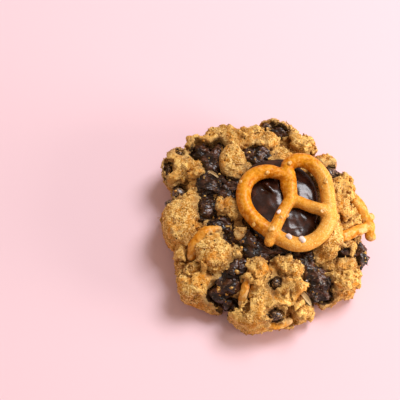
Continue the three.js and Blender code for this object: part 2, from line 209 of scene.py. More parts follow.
@dataclass
class Lattice:
    """A box of equally spaced points, and a signed distance at each: negative inside the piece."""

    low: Array
    cell: float
    shape: tuple[int, int, int]
    values: Array = field(init=False)

    FAR = 6.0  # distance given to points that nothing is near

    def __post_init__(self) -> None:
        """Starts with nothing near any point."""
        self.values = np.full(self.shape, self.FAR, np.float32)

    @classmethod
    def around(cls, low: Array, high: Array, cell: float) -> "Lattice":
        """A lattice that covers a box, with two spare cells on each side.

        Args:
            low: The box's lowest corner.
            high: Its highest corner.
            cell: Distance between points.

        Returns:
            The lattice.
        """
        start = np.asarray(low, float) - 2 * cell
        halves = np.ceil((np.asarray(high, float) + 2 * cell - start) / (2 * cell)).astype(int)
        return cls(start, cell, tuple(int(2 * n + 1) for n in halves))

    def window(self, low: Array, high: Array) -> tuple[slice, slice, slice]:
        """The part of the lattice that covers a box.

        Args:
            low: The box's lowest corner.
            high: Its highest corner.

        Returns:
            A slice of the lattice's points for each axis.
        """
        first = np.floor((np.asarray(low) - self.low) / self.cell).astype(int)
        last = np.ceil((np.asarray(high) - self.low) / self.cell).astype(int) + 1
        return tuple(
            slice(int(max(a, 0)), int(max(min(b, n), 0))) for a, b, n in zip(first, last, self.shape)
        )

    def points(self, window: Optional[tuple[slice, slice, slice]] = None) -> Array:
        """Places of the points in a window, or of all of them, x, y and z along the last axis.

        Args:
            window: A slice for each axis. Without it, all points are meant.

        Returns:
            The places.
        """
        window = window or tuple(slice(0, n) for n in self.shape)
        axes = [
            (start + self.cell * np.arange(part.start, part.stop)).astype(np.float32)
            for start, part in zip(self.low, window)
        ]
        return np.stack(np.meshgrid(*axes, indexing="ij"), axis=-1)

    def eased(self, function: Callable[[Array], Array]) -> Array:
        """Values of a smooth function of place at all points, worked out at every other one.

        Each point between two that were worked out gets their mean, along one axis after the other.

        Args:
            function: The function, of rows of places.

        Returns:
            Its values at all points.
        """
        values = function(self.points()[::2, ::2, ::2])
        for axis in range(3):
            values = np.moveaxis(values, axis, 0)
            full = np.empty((2 * len(values) - 1, *values.shape[1:]), values.dtype)
            full[::2] = values
            full[1::2] = (values[1:] + values[:-1]) / 2
            values = np.moveaxis(full, 0, axis)
        return values

    def drift(self, noise: Noise, *layers: Pair, shift: float = 0.0) -> Array:
        """How far noise moves each point.

        Args:
            noise: The noise.
            *layers: The size and the reach of each layer of it, in millimetres.
            shift: Where the noise is taken from, so that two drifts differ.

        Returns:
            An offset for each point, the sum of the layers.
        """
        return self.eased(
            lambda places: sum(reach * noise.drift(places + shift, size) for size, reach in layers)
        )

    def sample(self, points: Array) -> Array:
        """Distances at any places, blended straight between the lattice points around each.

        Args:
            points: The places.

        Returns:
            The distances.
        """
        place = np.clip((points - self.low) / self.cell, 0, np.array(self.shape) - 1.001)
        base = place.astype(np.int64)
        share = place - base
        total = np.zeros(len(points))
        for step in np.ndindex(2, 2, 2):
            corner = np.array(step)
            weight = np.prod(np.where(corner, share, 1.0 - share), axis=-1)
            total += weight * self.values[tuple((base + corner).T)]
        return total

    def surface(self) -> tuple[Array, Array]:
        """The surface where the distance is zero, as four-sided faces.

        Each cell that the surface crosses gets one corner, at the mean of the points where it crosses the
        cell's edges. Each lattice edge that it crosses gets one face, between the four cells round that edge.

        Returns:
            Corners in millimetres, and faces as rows of four corner numbers, pointing outwards.
        """
        inside = self.values < 0
        count = np.zeros(np.array(self.shape) - 1, np.uint8)
        for step in np.ndindex(2, 2, 2):
            count += inside[tuple(slice(s, n - 1 + s) for s, n in zip(step, self.shape))]
        crossed = (count > 0) & (count < 8)
        cells = np.argwhere(crossed)
        number = np.full(crossed.shape, -1, np.int64)
        number[crossed] = np.arange(len(cells))

        total = np.zeros((len(cells), 3))
        hits = np.zeros(len(cells))
        for axis in range(3):
            along = np.eye(3, dtype=int)[axis]
            for step in np.ndindex(2, 2, 2):
                if step[axis]:
                    continue
                start = np.array(step)
                here = self.values[tuple((cells + start).T)]
                there = self.values[tuple((cells + start + along).T)]
                cuts = (here < 0) != (there < 0)
                share = here[cuts] / (here[cuts] - there[cuts])
                total[cuts] += start + share[:, None] * along
                hits[cuts] += 1
        corners = self.low + self.cell * (cells + total / hits[:, None])

        faces = []
        for axis in range(3):
            near = tuple(slice(0, n - (i == axis)) for i, n in enumerate(self.shape))
            far = tuple(slice(int(i == axis), n) for i, n in enumerate(self.shape))
            edges = np.argwhere(inside[near] != inside[far])
            u, v = np.eye(3, dtype=int)[(axis + 1) % 3], np.eye(3, dtype=int)[(axis + 2) % 3]
            ring = [number[tuple((edges - move).T)] for move in (0 * u, u, u + v, v)]
            quads = np.stack(ring, axis=1)
            turned = ~inside[tuple(edges.T)]
            quads[turned] = quads[turned, ::-1]
            faces.append(quads)
        return corners, np.concatenate(faces)


def blend_union(a: Array, b: Array, reach: float) -> Array:
    """The nearer of two distances, rounded off over reach where they are alike."""
    share = np.clip(0.5 + 0.5 * (b - a) / reach, 0.0, 1.0)
    return b * (1.0 - share) + a * share - reach * share * (1.0 - share)


def blend_cut(a: Array, tool: Array, reach: float) -> Array:
    """Distance to what is left of a when the tool's inside is taken away, rounded off over reach."""
    return -blend_union(-a, tool, reach)


def ellipsoid(points: Array, at: Array, half: Array, turn: float = 0.0) -> Array:
    """Distance to an ellipsoid, nearly.

    With q the point's offset in the ellipsoid's own turned axes, m = |q / half| and g = |q / half^2|, the
    distance is m (m - 1) / g, which is exact on a sphere.

    Args:
        points: The points.
        at: The ellipsoid's middle.
        half: Its half-axes.
        turn: Its turn about the upright axis, in degrees.

    Returns:
        The distances, negative inside.
    """
    offset = about_z(points - np.asarray(at, points.dtype), -turn)
    half = np.asarray(half, points.dtype)
    m = length(offset / half)
    g = length(offset / half**2)
    return m * (m - 1.0) / np.maximum(g, 1e-6)


def cushion(points: Array, at: Array, half: Array, turn: float = 0.0, power: float = 3.4) -> Array:
    """Distance to a cushion, nearly: an ellipsoid with a flatter top and steeper sides.

    With r the distance out and u the height, each as a share of its half-axis, the surface is where
    f = (r^power + |u|^power)^(1/power) is 1, and the distance is (f - 1) over the length of f's gradient.

    Args:
        points: The points.
        at: The cushion's middle.
        half: Its half-axes.
        turn: Its turn about the upright axis, in degrees.
        power: How square it is: 2 makes an ellipsoid.

    Returns:
        The distances, negative inside.
    """
    offset = about_z(points - np.asarray(at, points.dtype), -turn)
    half = np.asarray(half, points.dtype)
    r = np.maximum(length(offset[..., :2] / half[:2]), 1e-3)
    u = np.abs(offset[..., 2]) / half[2]
    f = np.maximum((r**power + u**power) ** (1 / power), 1e-3)
    outward = (r / f) ** (power - 1) * length(offset[..., :2] / half[:2] ** 2) / r
    upward = (u / f) ** (power - 1) / half[2]
    return (f - 1.0) / np.maximum(np.hypot(outward, upward), 1e-6)


def curve_through(points: Array, steps: int) -> Array:
    """A smooth curve through points: a Catmull-Rom cubic for each span, steps places to a span.

    Args:
        points: The points.
        steps: How many places each span gets.

    Returns:
        Places along the curve.
    """
    ends = np.vstack([2 * points[0] - points[1], points, 2 * points[-1] - points[-2]])
    before, start, end, after = ends[:-3], ends[1:-2], ends[2:-1], ends[3:]
    t = (np.arange(steps) / steps)[:, None, None]
    cubic = 0.5 * (
        2 * start
        + (end - before) * t
        + (2 * before - 5 * start + 4 * end - after) * t**2
        + (3 * start - before - 3 * end + after) * t**3
    )
    return np.vstack([cubic.transpose(1, 0, 2).reshape(-1, 3), points[-1:]])


def vertex_normals(corners: Array, faces: Array) -> Array:
    """Unit normals at the corners: the mean of the normals of the faces round each.

    Args:
        corners: Places of the corners.
        faces: Rows of four corner numbers.

    Returns:
        The normals.
    """
    a, b, c, d = (corners[faces[:, i]] for i in range(4))
    face_normals = np.cross(c - a, d - b)
    total = np.zeros_like(corners)
    for i in range(4):
        for axis in range(3):
            total[:, axis] += np.bincount(faces[:, i], face_normals[:, axis], len(corners))
    return total / np.maximum(np.linalg.norm(total, axis=1, keepdims=True), 1e-9)


def capped(ring: Array, rings: int, spokes: int) -> tuple[Array, Array]:
    """Rings of corners, from the top one down, closed by a corner in the middle of the first and the last.

    Args:
        ring: Corners of all rings, ring by ring, each counted anticlockwise seen from above.
        rings: How many rings there are.
        spokes: How many corners each has.

    Returns:
        All corners, and the triangles between them, pointing outwards.
    """
    corners = np.vstack([ring, ring[:spokes].mean(0), ring[-spokes:].mean(0)])
    here, there = np.arange(spokes), np.roll(np.arange(spokes), -1)
    rows = np.arange(rings - 1)[:, None] * spokes
    a, b, c, d = rows + here, rows + spokes + here, rows + spokes + there, rows + there
    last = (rings - 1) * spokes
    fans = [
        np.stack([here, there, np.full(spokes, len(ring))], -1),
        np.stack([last + there, last + here, np.full(spokes, len(ring) + 1)], -1),
    ]
    sides = [np.stack([a, b, c], -1).reshape(-1, 3), np.stack([a, c, d], -1).reshape(-1, 3)]
    return corners, np.vstack([*sides, *fans])


def ball(rings: int, spokes: int) -> tuple[Array, Array]:
    """A ball of radius 1, on rings and spokes.

    Args:
        rings: How many rings it has between its poles.
        spokes: How many corners each has.

    Returns:
        Corners and triangles.
    """
    polar = (np.pi * (np.arange(rings) + 1) / (rings + 1))[:, None]
    turn = (2 * np.pi * np.arange(spokes) / spokes)[None, :]
    out = np.sin(polar)
    ring = np.stack([out * np.cos(turn), out * np.sin(turn), np.cos(polar) + 0 * turn], -1)
    corners, faces = capped(ring.reshape(-1, 3), rings, spokes)
    corners[-2:] = (0, 0, 1), (0, 0, -1)
    return corners, faces


def largest_part(corners: Array, faces: Array) -> tuple[Array, Array]:
    """The largest connected part of a surface.

    Each corner takes the lowest label among the corners it shares an edge with, and then the label of the
    corner that its label names, again and again until nothing changes.

    Args:
        corners: Places of the corners.
        faces: Rows of four corner numbers.

    Returns:
        Its corners and faces.
    """
    ahead = np.roll(faces, -1, axis=1)
    here = np.concatenate([faces.ravel(), ahead.ravel()])
    there = np.concatenate([ahead.ravel(), faces.ravel()])
    order = np.argsort(here, kind="stable")
    here, there = here[order], there[order]
    starts = np.searchsorted(here, np.arange(len(corners)))
    label = np.arange(len(corners))
    while True:
        new = np.minimum(label, np.minimum.reduceat(label[there], starts))
        new = new[new]
        if np.array_equal(new, label):
            break
        label = new
    keep = label == np.bincount(label).argmax()
    number = np.cumsum(keep) - 1
    return corners[keep], number[faces[keep[faces[:, 0]]]]


def relaxed(corners: Array, faces: Array, share: float) -> Array:
    """Corners moved a share of the way to the mean of the corners they share an edge with.

    Args:
        corners: Places of the corners.
        faces: Rows of four corner numbers.
        share: How much of the way, from 0 to 1.

    Returns:
        The moved corners.
    """
    total = np.zeros_like(corners)
    count = np.zeros(len(corners))
    for i in range(4):
        here, there = faces[:, i], faces[:, (i + 1) % 4]
        for a, b in ((here, there), (there, here)):
            count += np.bincount(a, minlength=len(corners))
            for axis in range(3):
                total[:, axis] += np.bincount(a, corners[b, axis], len(corners))
    return corners + share * (total / count[:, None] - corners)


# ---------- materials ----------

NOISE, CELLS = "ShaderNodeTexNoise", "ShaderNodeTexVoronoi"


def linear(code: int) -> tuple[float, float, float, float]:
    """A linear, opaque colour from an sRGB hex value such as 0xD0A064.

    Args:
        code: The hex value.

    Returns:
        Red, green, blue and alpha.
    """
    shares = [((code >> shift) & 255) / 255.0 for shift in (16, 8, 0)]
    straight = [s / 12.92 if s <= 0.04045 else ((s + 0.055) / 1.055) ** 2.4 for s in shares]
    return (*straight, 1.0)


def per_metre(size: float) -> float:
    """Scale of a texture on Object coordinates, whose swells are size millimetres wide."""
    return 1.0 / (size * MM)


@dataclass(frozen=True)
class Coat:
    """A colour laid over what is under it, by a share that follows a value.

    The share rises smoothly from 0, where the value is the first of reach, to most, where it is the second.
    Without a reach it is the value itself. With patches, a second value and its reach, it shows only there.
    """

    colour: int
    value: bpy.types.NodeSocket
    reach: Optional[Pair] = None
    most: float = 1.0
    patches: Optional[tuple[bpy.types.NodeSocket, Optional[Pair]]] = None
    how: str = "MIX"


@dataclass(frozen=True)
class Bump:
    """Relief that follows a value: its depth in millimetres, its strength, and if high values lie low."""

    height: bpy.types.NodeSocket
    depth: float
    strength: float = 1.0
    sunk: bool = False


class Finish:
    """A material while it is made: its node tree and its Principled shader."""

    def __init__(self, name: str, constants: dict[str, Any]) -> None:
        """Starts the material.

        Args:
            name: What it is, in a maker's words.
            constants: What is the same all over it, by the name of the shader's socket.
        """
        self.material = bpy.data.materials.new(name)
        self.material.use_nodes = True
        self.tree = self.material.node_tree
        self.shader = next(n for n in self.tree.nodes if n.type == "BSDF_PRINCIPLED")
        for socket, value in constants.items():
            self.shader.inputs[socket].default_value = value

    def add(self, kind: str, inputs: Optional[dict] = None, **settings: Any) -> bpy.types.Node:
        """Adds a node.

        Args:
            kind: The node's type, such as ShaderNodeTexNoise.
            inputs: For each input's name or number, a value, or an output socket to link to it.
            **settings: The node's own properties.

        Returns:
            The new node.
        """
        node = self.tree.nodes.new(kind)
        for name, value in settings.items():
            setattr(node, name, value)
        for key, value in (inputs or {}).items():
            if isinstance(value, bpy.types.NodeSocket):
                self.tree.links.new(value, node.inputs[key])
            else:
                node.inputs[key].default_value = value
        return node

    def link(self, socket: str, value: bpy.types.NodeSocket) -> None:
        """Links a value to one of the shader's sockets."""
        self.tree.links.new(value, self.shader.inputs[socket])

    def coat(self, ground: int, coats: Iterable[Coat]) -> None:
        """Colours the surface.

        Args:
            ground: The colour under all coats.
            coats: The coats, in the order that they are laid on.
        """
        colour: Any = linear(ground)
        for coat in coats:
            parts = [(coat.value, coat.reach, coat.most)]
            if coat.patches:
                parts.append((*coat.patches, 1.0))
            shares = []
            for value, reach, most in parts:
                if reach:
                    ramp = {"Value": value, "From Min": reach[0], "From Max": reach[1], "To Max": most}
                    node = self.add("ShaderNodeMapRange", ramp, interpolation_type="SMOOTHSTEP")
                    value = node.outputs["Result"]
                shares.append(value)
            share = shares[0]
            if coat.patches:
                share = self.add("ShaderNodeMath", dict(enumerate(shares)), operation="MULTIPLY").outputs[0]
            layers = {0: share, 6: colour, 7: linear(coat.colour)}  # the factor and the two colours
            colour = self.add("ShaderNodeMix", layers, data_type="RGBA", blend_type=coat.how).outputs[2]
        self.link("Base Color", colour)

    def emboss(self, bumps: Iterable[Bump]) -> None:
        """Gives the surface its relief.

        Args:
            bumps: The bumps, each laid on the one before.
        """
        below: dict = {}
        for bump in bumps:
            relief = {"Height": bump.height, "Distance": bump.depth * MM, "Strength": bump.strength}
            node = self.add("ShaderNodeBump", relief | below, invert=bump.sunk)
            below = {"Normal": node.outputs["Normal"]}
        self.link("Normal", below["Normal"])


@dataclass(frozen=True)
class BakedDough:
    """Oat dough, baked: a matt sandy crumb, pale where it is fresh and browner where it caught the heat, with
    painted shade in its hollows, cracks and pores and a painted highlight on its crests.
    """

    flour: int = 0xFFE0A0
    pale: int = 0xF4C872
    tan: int = 0xC4862E
    brown: int = 0x8C5410
    golden: int = 0xD98410
    toasted: int = 0xB06C10
    grey: int = 0x9C7E5A  # where cocoa dust dulls it
    cocoa: int = 0x36211A
    # near black: the painted shade in the pores
    speck: int = 0x3A200E
    patch: float = 6.0  # mm, patches that browned alike
    blotch: float = 2.2  # mm, smaller ones
    flake: float = 1.7  # mm, flakes of one tone each, with ledges between them
    bend: float = 2.4  # mm that the flakes' edges wander
    bend_size: float = 1.2  # mm over which they do
    sand: float = 0.5  # mm, pale and dark grains
    grit: float = 0.55  # mm, the finest grain drawn: real flour is finer than shows
    sugar: float = 0.8  # mm, browned sugar
    stain: float = 1.1  # mm, ragged edges of chocolate smears
    grain: float = 1.2  # mm, oat and sugar grains
    crack: float = 5.2  # mm between hairline cracks, darkened as painted shade
    pore: float = 3.1  # mm between pores, painted as dark dots of shade
    fleck: float = 2.6  # mm between golden flecks

    def build(self) -> bpy.types.Material:
        """Makes the material. It reads the dough's hollow (painted shade), crest_highlight (painted
        highlight), cocoa, smudge and toast numbers.
        """
        finish = Finish("baked_oat_dough", {"Roughness": 0.85, "Specular IOR Level": 0.15})
        where = finish.add("ShaderNodeTexCoord").outputs["Object"]
        hollow, crest_highlight, cocoa, smudge, toast = (
            finish.add("ShaderNodeAttribute", attribute_name=name).outputs["Fac"]
            for name in ("hollow", "crest_highlight", "cocoa", "smudge", "toast")
        )
        drift, broad, middle, sand, grit, sugar, stain = (
            finish.add(NOISE, {"Vector": where, "Scale": per_metre(size), "Detail": detail}).outputs
            for size, detail in (
                (self.bend_size, 3.0),
                (self.patch, 3.0),
                (self.blotch, 4.0),
                (self.sand, 2.0),
                (self.grit, 2.0),
                (self.sugar, 2.0),
                (self.stain, 4.0),
            )
        )
        bent = finish.add(
            "ShaderNodeVectorMath",
            {0: drift["Color"], 1: (self.bend * MM,) * 3, 2: where},
            operation="MULTIPLY_ADD",
        ).outputs["Vector"]
        flakes, edges, flecks, pore_shade, grains = (
            finish.add(CELLS, {"Vector": place, "Scale": per_metre(size)}, feature=feature).outputs
            for place, size, feature in (
                (bent, self.flake, "F1"),
                (bent, self.crack, "DISTANCE_TO_EDGE"),
                (where, self.fleck, "F1"),
                (where, self.pore, "F1"),
                (where, self.grain, "SMOOTH_F1"),
            )
        )
        smear = finish.add(
            "ShaderNodeMath", {0: stain["Fac"], 1: 1.6, 2: cocoa}, operation="MULTIPLY_ADD"
        ).outputs[0]
        golden_patches, crack_shade_patches = (broad["Fac"], (0.42, 0.6)), (broad["Fac"], (0.5, 0.4))
        finish.coat(
            self.tan,
            (
                Coat(self.pale, flakes["Color"], (0.3, 0.75)),
                Coat(self.pale, middle["Fac"], (0.5, 0.7), 0.4),
                Coat(self.flour, sand["Fac"], (0.52, 0.66), 0.75),
                Coat(self.brown, sand["Fac"], (0.48, 0.34), 0.72),
                Coat(self.golden, broad["Fac"], (0.5, 0.66), 0.55),
                Coat(self.toasted, toast, (0.0, 1.0), 0.75),
                # painted highlight: paler on crests, where little dough lies under the surface
                Coat(self.pale, crest_highlight, (0.0, 1.0), 0.45),
                Coat(self.brown, sugar["Fac"], (0.4, 0.32), 0.6),
                Coat(self.grey, middle["Fac"], (0.44, 0.3), 0.45),
                Coat(self.golden, flecks["Distance"], (0.3, 0.12), 0.6, golden_patches),
                # painted shade: darker along hairline cracks
                Coat(self.brown, edges["Distance"], (0.06, 0.02), 0.6, crack_shade_patches, "MULTIPLY"),
                # painted shade: near black dots where pores are
                Coat(self.speck, pore_shade["Distance"], (0.16, 0.08), 0.95),
                Coat(self.grey, smudge, (0.0, 1.0), 0.45),
                Coat(self.cocoa, smear, (1.28, 1.44), 0.9),
                # painted shade: darker in hollows, where dough stands round
                Coat(self.brown, hollow, (0.0, 1.0), 0.7, how="MULTIPLY"),
            ),
        )
        finish.emboss(
            (
                Bump(flakes["Color"], 1.3),
                Bump(grains["Distance"], 0.4, 0.9, sunk=True),
                Bump(grit["Fac"], 0.42),
            )
        )
        return finish.material


@dataclass(frozen=True)
class Chocolate:
    """Dark chocolate that melted and set: near black brown, glossy where smooth and dull where it bloomed."""

    name: str
    dark: int
    light: int
    roughness: float
    rough_range: float
    grit: float  # mm, size of the unevenness
    depth: float  # mm, how deep it is
    shine: float = 0.5
    dust: float = 0.0  # how much the crumb dust on it hides
    dust_from: float = 0.6  # lowest noise that has dust on it, so less of it where this is higher
    crumb: int = 0xA8845C  # the dust's colour
    patch: float = 3.2  # mm, lighter patches
    speck: float = 0.6  # mm, specks of dust
    bloom: float = 1.7  # mm, dull patches

    def build(self) -> bpy.types.Material:
        """Makes the material."""
        finish = Finish(self.name, {"Specular IOR Level": self.shine})
        where = finish.add("ShaderNodeTexCoord").outputs["Object"]
        patches, specks, bloom = (
            finish.add(NOISE, {"Vector": where, "Scale": per_metre(size), "Detail": detail}).outputs["Fac"]
            for size, detail in ((self.patch, 3.0), (self.speck, 2.0), (self.bloom, 3.0))
        )
        finish.coat(
            self.dark,
            (
                Coat(self.light, patches, (0.42, 0.68)),
                Coat(self.crumb, specks, (self.dust_from, self.dust_from + 0.12), self.dust),
            ),
        )
        dullest = self.roughness + self.rough_range
        dull = {"Value": bloom, "From Min": 0.3, "From Max": 0.7, "To Min": self.roughness, "To Max": dullest}
        finish.link("Roughness", finish.add("ShaderNodeMapRange", dull).outputs["Result"])
        turned = finish.add(
            "ShaderNodeMapping", {"Vector": where, "Rotation": (0.0, 0.0, 0.6), "Scale": (0.45, 1.0, 1.0)}
        ).outputs["Vector"]
        ridges = finish.add(
            NOISE,
            {"Vector": turned, "Scale": per_metre(self.grit), "Detail": 3.0},
            noise_type="RIDGED_MULTIFRACTAL",
        ).outputs["Fac"]
        finish.emboss([Bump(ridges, self.depth)])
        return finish.material


DROP_FINISH = Chocolate(
    "set_drop_of_dark_chocolate",
    dark=0x2A140C,
    light=0x48271A,
    roughness=0.17,
    rough_range=0.12,
    grit=1.8,
    depth=0.13,
    shine=0.45,
)
CHUNK_FINISH = Chocolate(
    "melted_chopped_dark_chocolate",
    dark=0x180A05,
    light=0x54301E,
    roughness=0.18,
    rough_range=0.3,
    grit=1.1,
    depth=0.45,
    dust=0.8,
)
CHIP_FINISH = Chocolate(
    "dark_chocolate_chip",
    dark=0x1E0F08,
    light=0x3C261A,
    roughness=0.26,
    rough_range=0.2,
    grit=1.4,
    depth=0.25,
    dust=0.8,
    dust_from=0.5,
)


@dataclass(frozen=True)
class PretzelCrust:
    """Lye-dipped pretzel crust: a thin, slightly glossy skin, orange brown, painted paler on top as a
    highlight and darker underneath as shade.
    """

    name: str = "glazed_pretzel_crust"
    crown: int = 0xC97200
    side: int = 0x8E4600
    # side: also the painted shade underneath
    pale: int = 0xE89C18
    crumb: int = 0xE6C083  # the broken ends
    crater: int = 0xF6CC78  # glazed pits that salt fell out of, and specks of dried glaze
    haze_and_sheen: int = 0xEFB050  # where the glaze dried thick, and the painted sheen on the side towards the side light
    roughness: float = 0.45
    tone: float = 3.0  # mm, patches that browned alike
    blotch: float = 1.2  # mm, uneven glaze
    freckle: float = 0.5  # mm, specks of dried glaze
    skin: float = 0.6  # mm, grain of the skin
    pit: float = 8.0  # mm between pits

    def build(self) -> bpy.types.Material:
        """Makes the material. It reads the crest_highlight, under, glaze_and_sheen and bare numbers: a
        painted highlight on top, painted shade underneath, thick glaze and on the mini pretzel a painted
        sheen, and bare, 1 on broken ends.
        """
        constants = {
            "Roughness": self.roughness,
            "Specular IOR Level": 0.1,
            "Coat Weight": 0.2,
            "Coat Roughness": 0.24,
        }
        finish = Finish(self.name, constants)
        where = finish.add("ShaderNodeTexCoord").outputs["Object"]
        crest_highlight, under, glaze_and_sheen, bare = (
            finish.add("ShaderNodeAttribute", attribute_name=name).outputs["Fac"]
            for name in ("crest_highlight", "under", "glaze_and_sheen", "bare")
        )
        tone, blotches, freckles, skin = (
            finish.add(NOISE, {"Vector": where, "Scale": per_metre(size), "Detail": detail}).outputs["Fac"]
            for size, detail in ((self.tone, 4.0), (self.blotch, 3.0), (self.freckle, 2.0), (self.skin, 3.0))
        )
        away = finish.add(CELLS, {"Vector": where, "Scale": per_metre(self.pit)}).outputs["Distance"]
        pits = finish.add(
            "ShaderNodeMapRange",
            {"Value": away, "From Min": 0.1, "From Max": 0.04, "To Max": 0.7},
            interpolation_type="SMOOTHSTEP",
        ).outputs["Result"]
        finish.coat(
            self.crown,
            (
                Coat(self.pale, tone, (0.45, 0.75), 0.6),
                # painted highlight: paler where the crust faces up
                Coat(self.pale, crest_highlight, (0.0, 1.0), 0.6),
                # painted shade: darker where the crust faces down
                Coat(self.side, under, (0.0, 1.0), 0.85),
                Coat(self.haze_and_sheen, blotches, (0.48, 0.64), 0.6),
                Coat(self.side, blotches, (0.46, 0.3), 0.4),
                # painted sheen on the mini pretzel's side towards the side light; thick glaze on the broken
                # pieces
                Coat(self.haze_and_sheen, glaze_and_sheen, (0.0, 1.0), 0.5),
                # specks of dried glaze, only where glaze_and_sheen lies
                Coat(self.crater, freckles, (0.5, 0.66), 0.8, (glaze_and_sheen, None)),
                Coat(self.crater, pits),
                Coat(self.crumb, bare),
            ),
        )
        finish.emboss((Bump(skin, 0.28, 0.9), Bump(pits, 0.25, 0.8)))
        return finish.material


@dataclass(frozen=True)
class SaltCrystal:
    """Coarse pretzel salt: milky, slightly see-through crystal with worn faces."""

    name: str = "coarse_salt_crystal"
    colour: int = 0xFFF4F0
    shade: int = 0xF6DCD0
    cloud: float = 0.8  # mm, milky patches
    wear: float = 0.4  # mm, dents

    def build(self) -> bpy.types.Material:
        """Makes the material."""
        finish = Finish(self.name, {"Roughness": 0.3, "IOR": 1.54, "Transmission Weight": 0.25})
        where = finish.add("ShaderNodeTexCoord").outputs["Object"]
        clouds, dents = (
            finish.add(NOISE, {"Vector": where, "Scale": per_metre(size), "Detail": 2.0}).outputs["Fac"]
            for size in (self.cloud, self.wear)
        )
        finish.coat(self.colour, [Coat(self.shade, clouds)])
        finish.emboss([Bump(dents, 0.1, 0.7)])
        return finish.material


@dataclass(frozen=True)
class RolledOat:
    """A rolled oat flake: pale straw colour, dry and matt, with a lengthwise grain."""

    straw: int = 0xD8BC8A
    groove: int = 0x94713F
    waves: float = 2.2  # scale of the wave texture: about 7 grooves to a millimetre

    def build(self) -> bpy.types.Material:
        """Makes the material. Its grain runs along the flake's own UV map."""
        finish = Finish("rolled_oat", {"Roughness": 0.8})
        across = finish.add("ShaderNodeUVMap", uv_map="flake").outputs["UV"]
        stripes = finish.add(
            "ShaderNodeTexWave", {"Vector": across, "Scale": self.waves, "Distortion": 1.2, "Detail": 2.0}
        ).outputs["Fac"]
        finish.coat(self.straw, [Coat(self.groove, stripes, (0.6, 0.1), 0.7)])
        finish.emboss([Bump(stripes, 0.12, 0.6)])
        return finish.material


@dataclass(frozen=True)
class PalePaint:
    """The plain floor under the cookie: matt pale pink paint."""

    colour: int = 0xEECFD8

    def build(self) -> bpy.types.Material:
        """Makes the material."""
        constants = {"Base Color": linear(self.colour), "Roughness": 0.9, "Specular IOR Level": 0.1}
        return Finish("pale_floor_paint", constants).material


# ---------- meshes ----------


def make_piece(
    name: str,
    corners: Array,
    faces: Array,
    material: bpy.types.Material,
    nodes: Iterable[str] = (),
    numbers: Optional[dict[str, Array]] = None,
) -> bpy.types.Object:
    """Makes one piece of the cookie.

    Args:
        name: The piece's name.
        corners: Places of the corners, in millimetres.
        faces: Rows of corner numbers, all with as many corners, pointing outwards.
        material: Its finish.
        nodes: CAD nodes that the piece stands for.
        numbers: Named values, one for each corner, for the material to read.

    Returns:
        The new object, at the origin, riding on the cookie's body.
    """
    mesh = bpy.data.meshes.new(name)
    sides = faces.shape[1]
    mesh.vertices.add(len(corners))
    mesh.vertices.foreach_set("co", (corners * MM).astype(np.float32).ravel())
    mesh.loops.add(faces.size)
    mesh.loops.foreach_set("vertex_index", faces.astype(np.int32).ravel())
    mesh.polygons.add(len(faces))
    mesh.polygons.foreach_set("loop_start", np.arange(0, faces.size, sides, dtype=np.int32))
    mesh.update(calc_edges=True)
    mesh.validate()
    mesh.shade_smooth()
    for key, values in (numbers or {}).items():
        layer = mesh.attributes.new(key, "FLOAT", "POINT")
        layer.data.foreach_set("value", values.astype(np.float32))
    mesh.materials.append(material)
    piece = bpy.data.objects.new(name, mesh)
    bpy.context.scene.collection.objects.link(piece)
    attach(piece, BODY)
    nodes = list(nodes)
    if nodes:
        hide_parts(*nodes)
    log.info("%s: %d triangles", name, len(faces) * (sides - 2))
    return piece


def skin(lattice: Lattice, ease: float) -> tuple[Array, Array, Array]:
    """The largest part of a lattice's surface, relaxed by a share: its corners, faces and corner normals.

    Args:
        lattice: The lattice that holds the distances.
        ease: How much the corners are relaxed, from 0 to 1.

    Returns:
        Corners, faces and corner normals.
    """
    corners, faces = largest_part(*lattice.surface())
    corners = relaxed(corners, faces, ease)
    return corners, faces, vertex_normals(corners, faces)


# ---------- the mini pretzel ----------


@dataclass(frozen=True)
class Strand:
    """A rope of pretzel dough: the points that it runs through, and its radius at its middle and its ends."""

    through: Array
    radius: float
    end_radius: float
    full: float = 0.72  # share of its length that keeps the middle's radius

    def centres(self) -> tuple[Array, Array]:
        """Places along the rope and the radius at each: full over most of it, easing off at both ends."""
        line = curve_through(self.through, 5)
        along = np.linspace(-1.0, 1.0, len(line))
        taper = smooth_step(np.abs(along), self.full, 1.0)
        return line, self.radius * (1 - taper) + self.end_radius * taper

    def lay_into(self, lattice: Lattice) -> Array:
        """Distances from a lattice's points to the rope.

        Each short length of it is a cone with round ends: the distance to the nearest place on the middle
        line, less the radius there.

        Args:
            lattice: The lattice that the distances are wanted on.

        Returns:
            The distances, in the lattice's shape.
        """
        line, radii = self.centres()
        values = np.full(lattice.shape, Lattice.FAR, np.float32)
        for a, b, ra, rb in zip(line[:-1], line[1:], radii[:-1], radii[1:]):
            margin = max(ra, rb) + 2.0
            window = lattice.window(np.minimum(a, b) - margin, np.maximum(a, b) + margin)
            points = lattice.points(window)
            run = (b - a).astype(np.float32)
            offset = points - a.astype(np.float32)
            share = np.clip((offset @ run) / (run @ run), 0.0, 1.0)
            away = length(offset - share[..., None] * run) - (ra + (rb - ra) * share)
            values[window] = np.minimum(values[window], away)
        return values


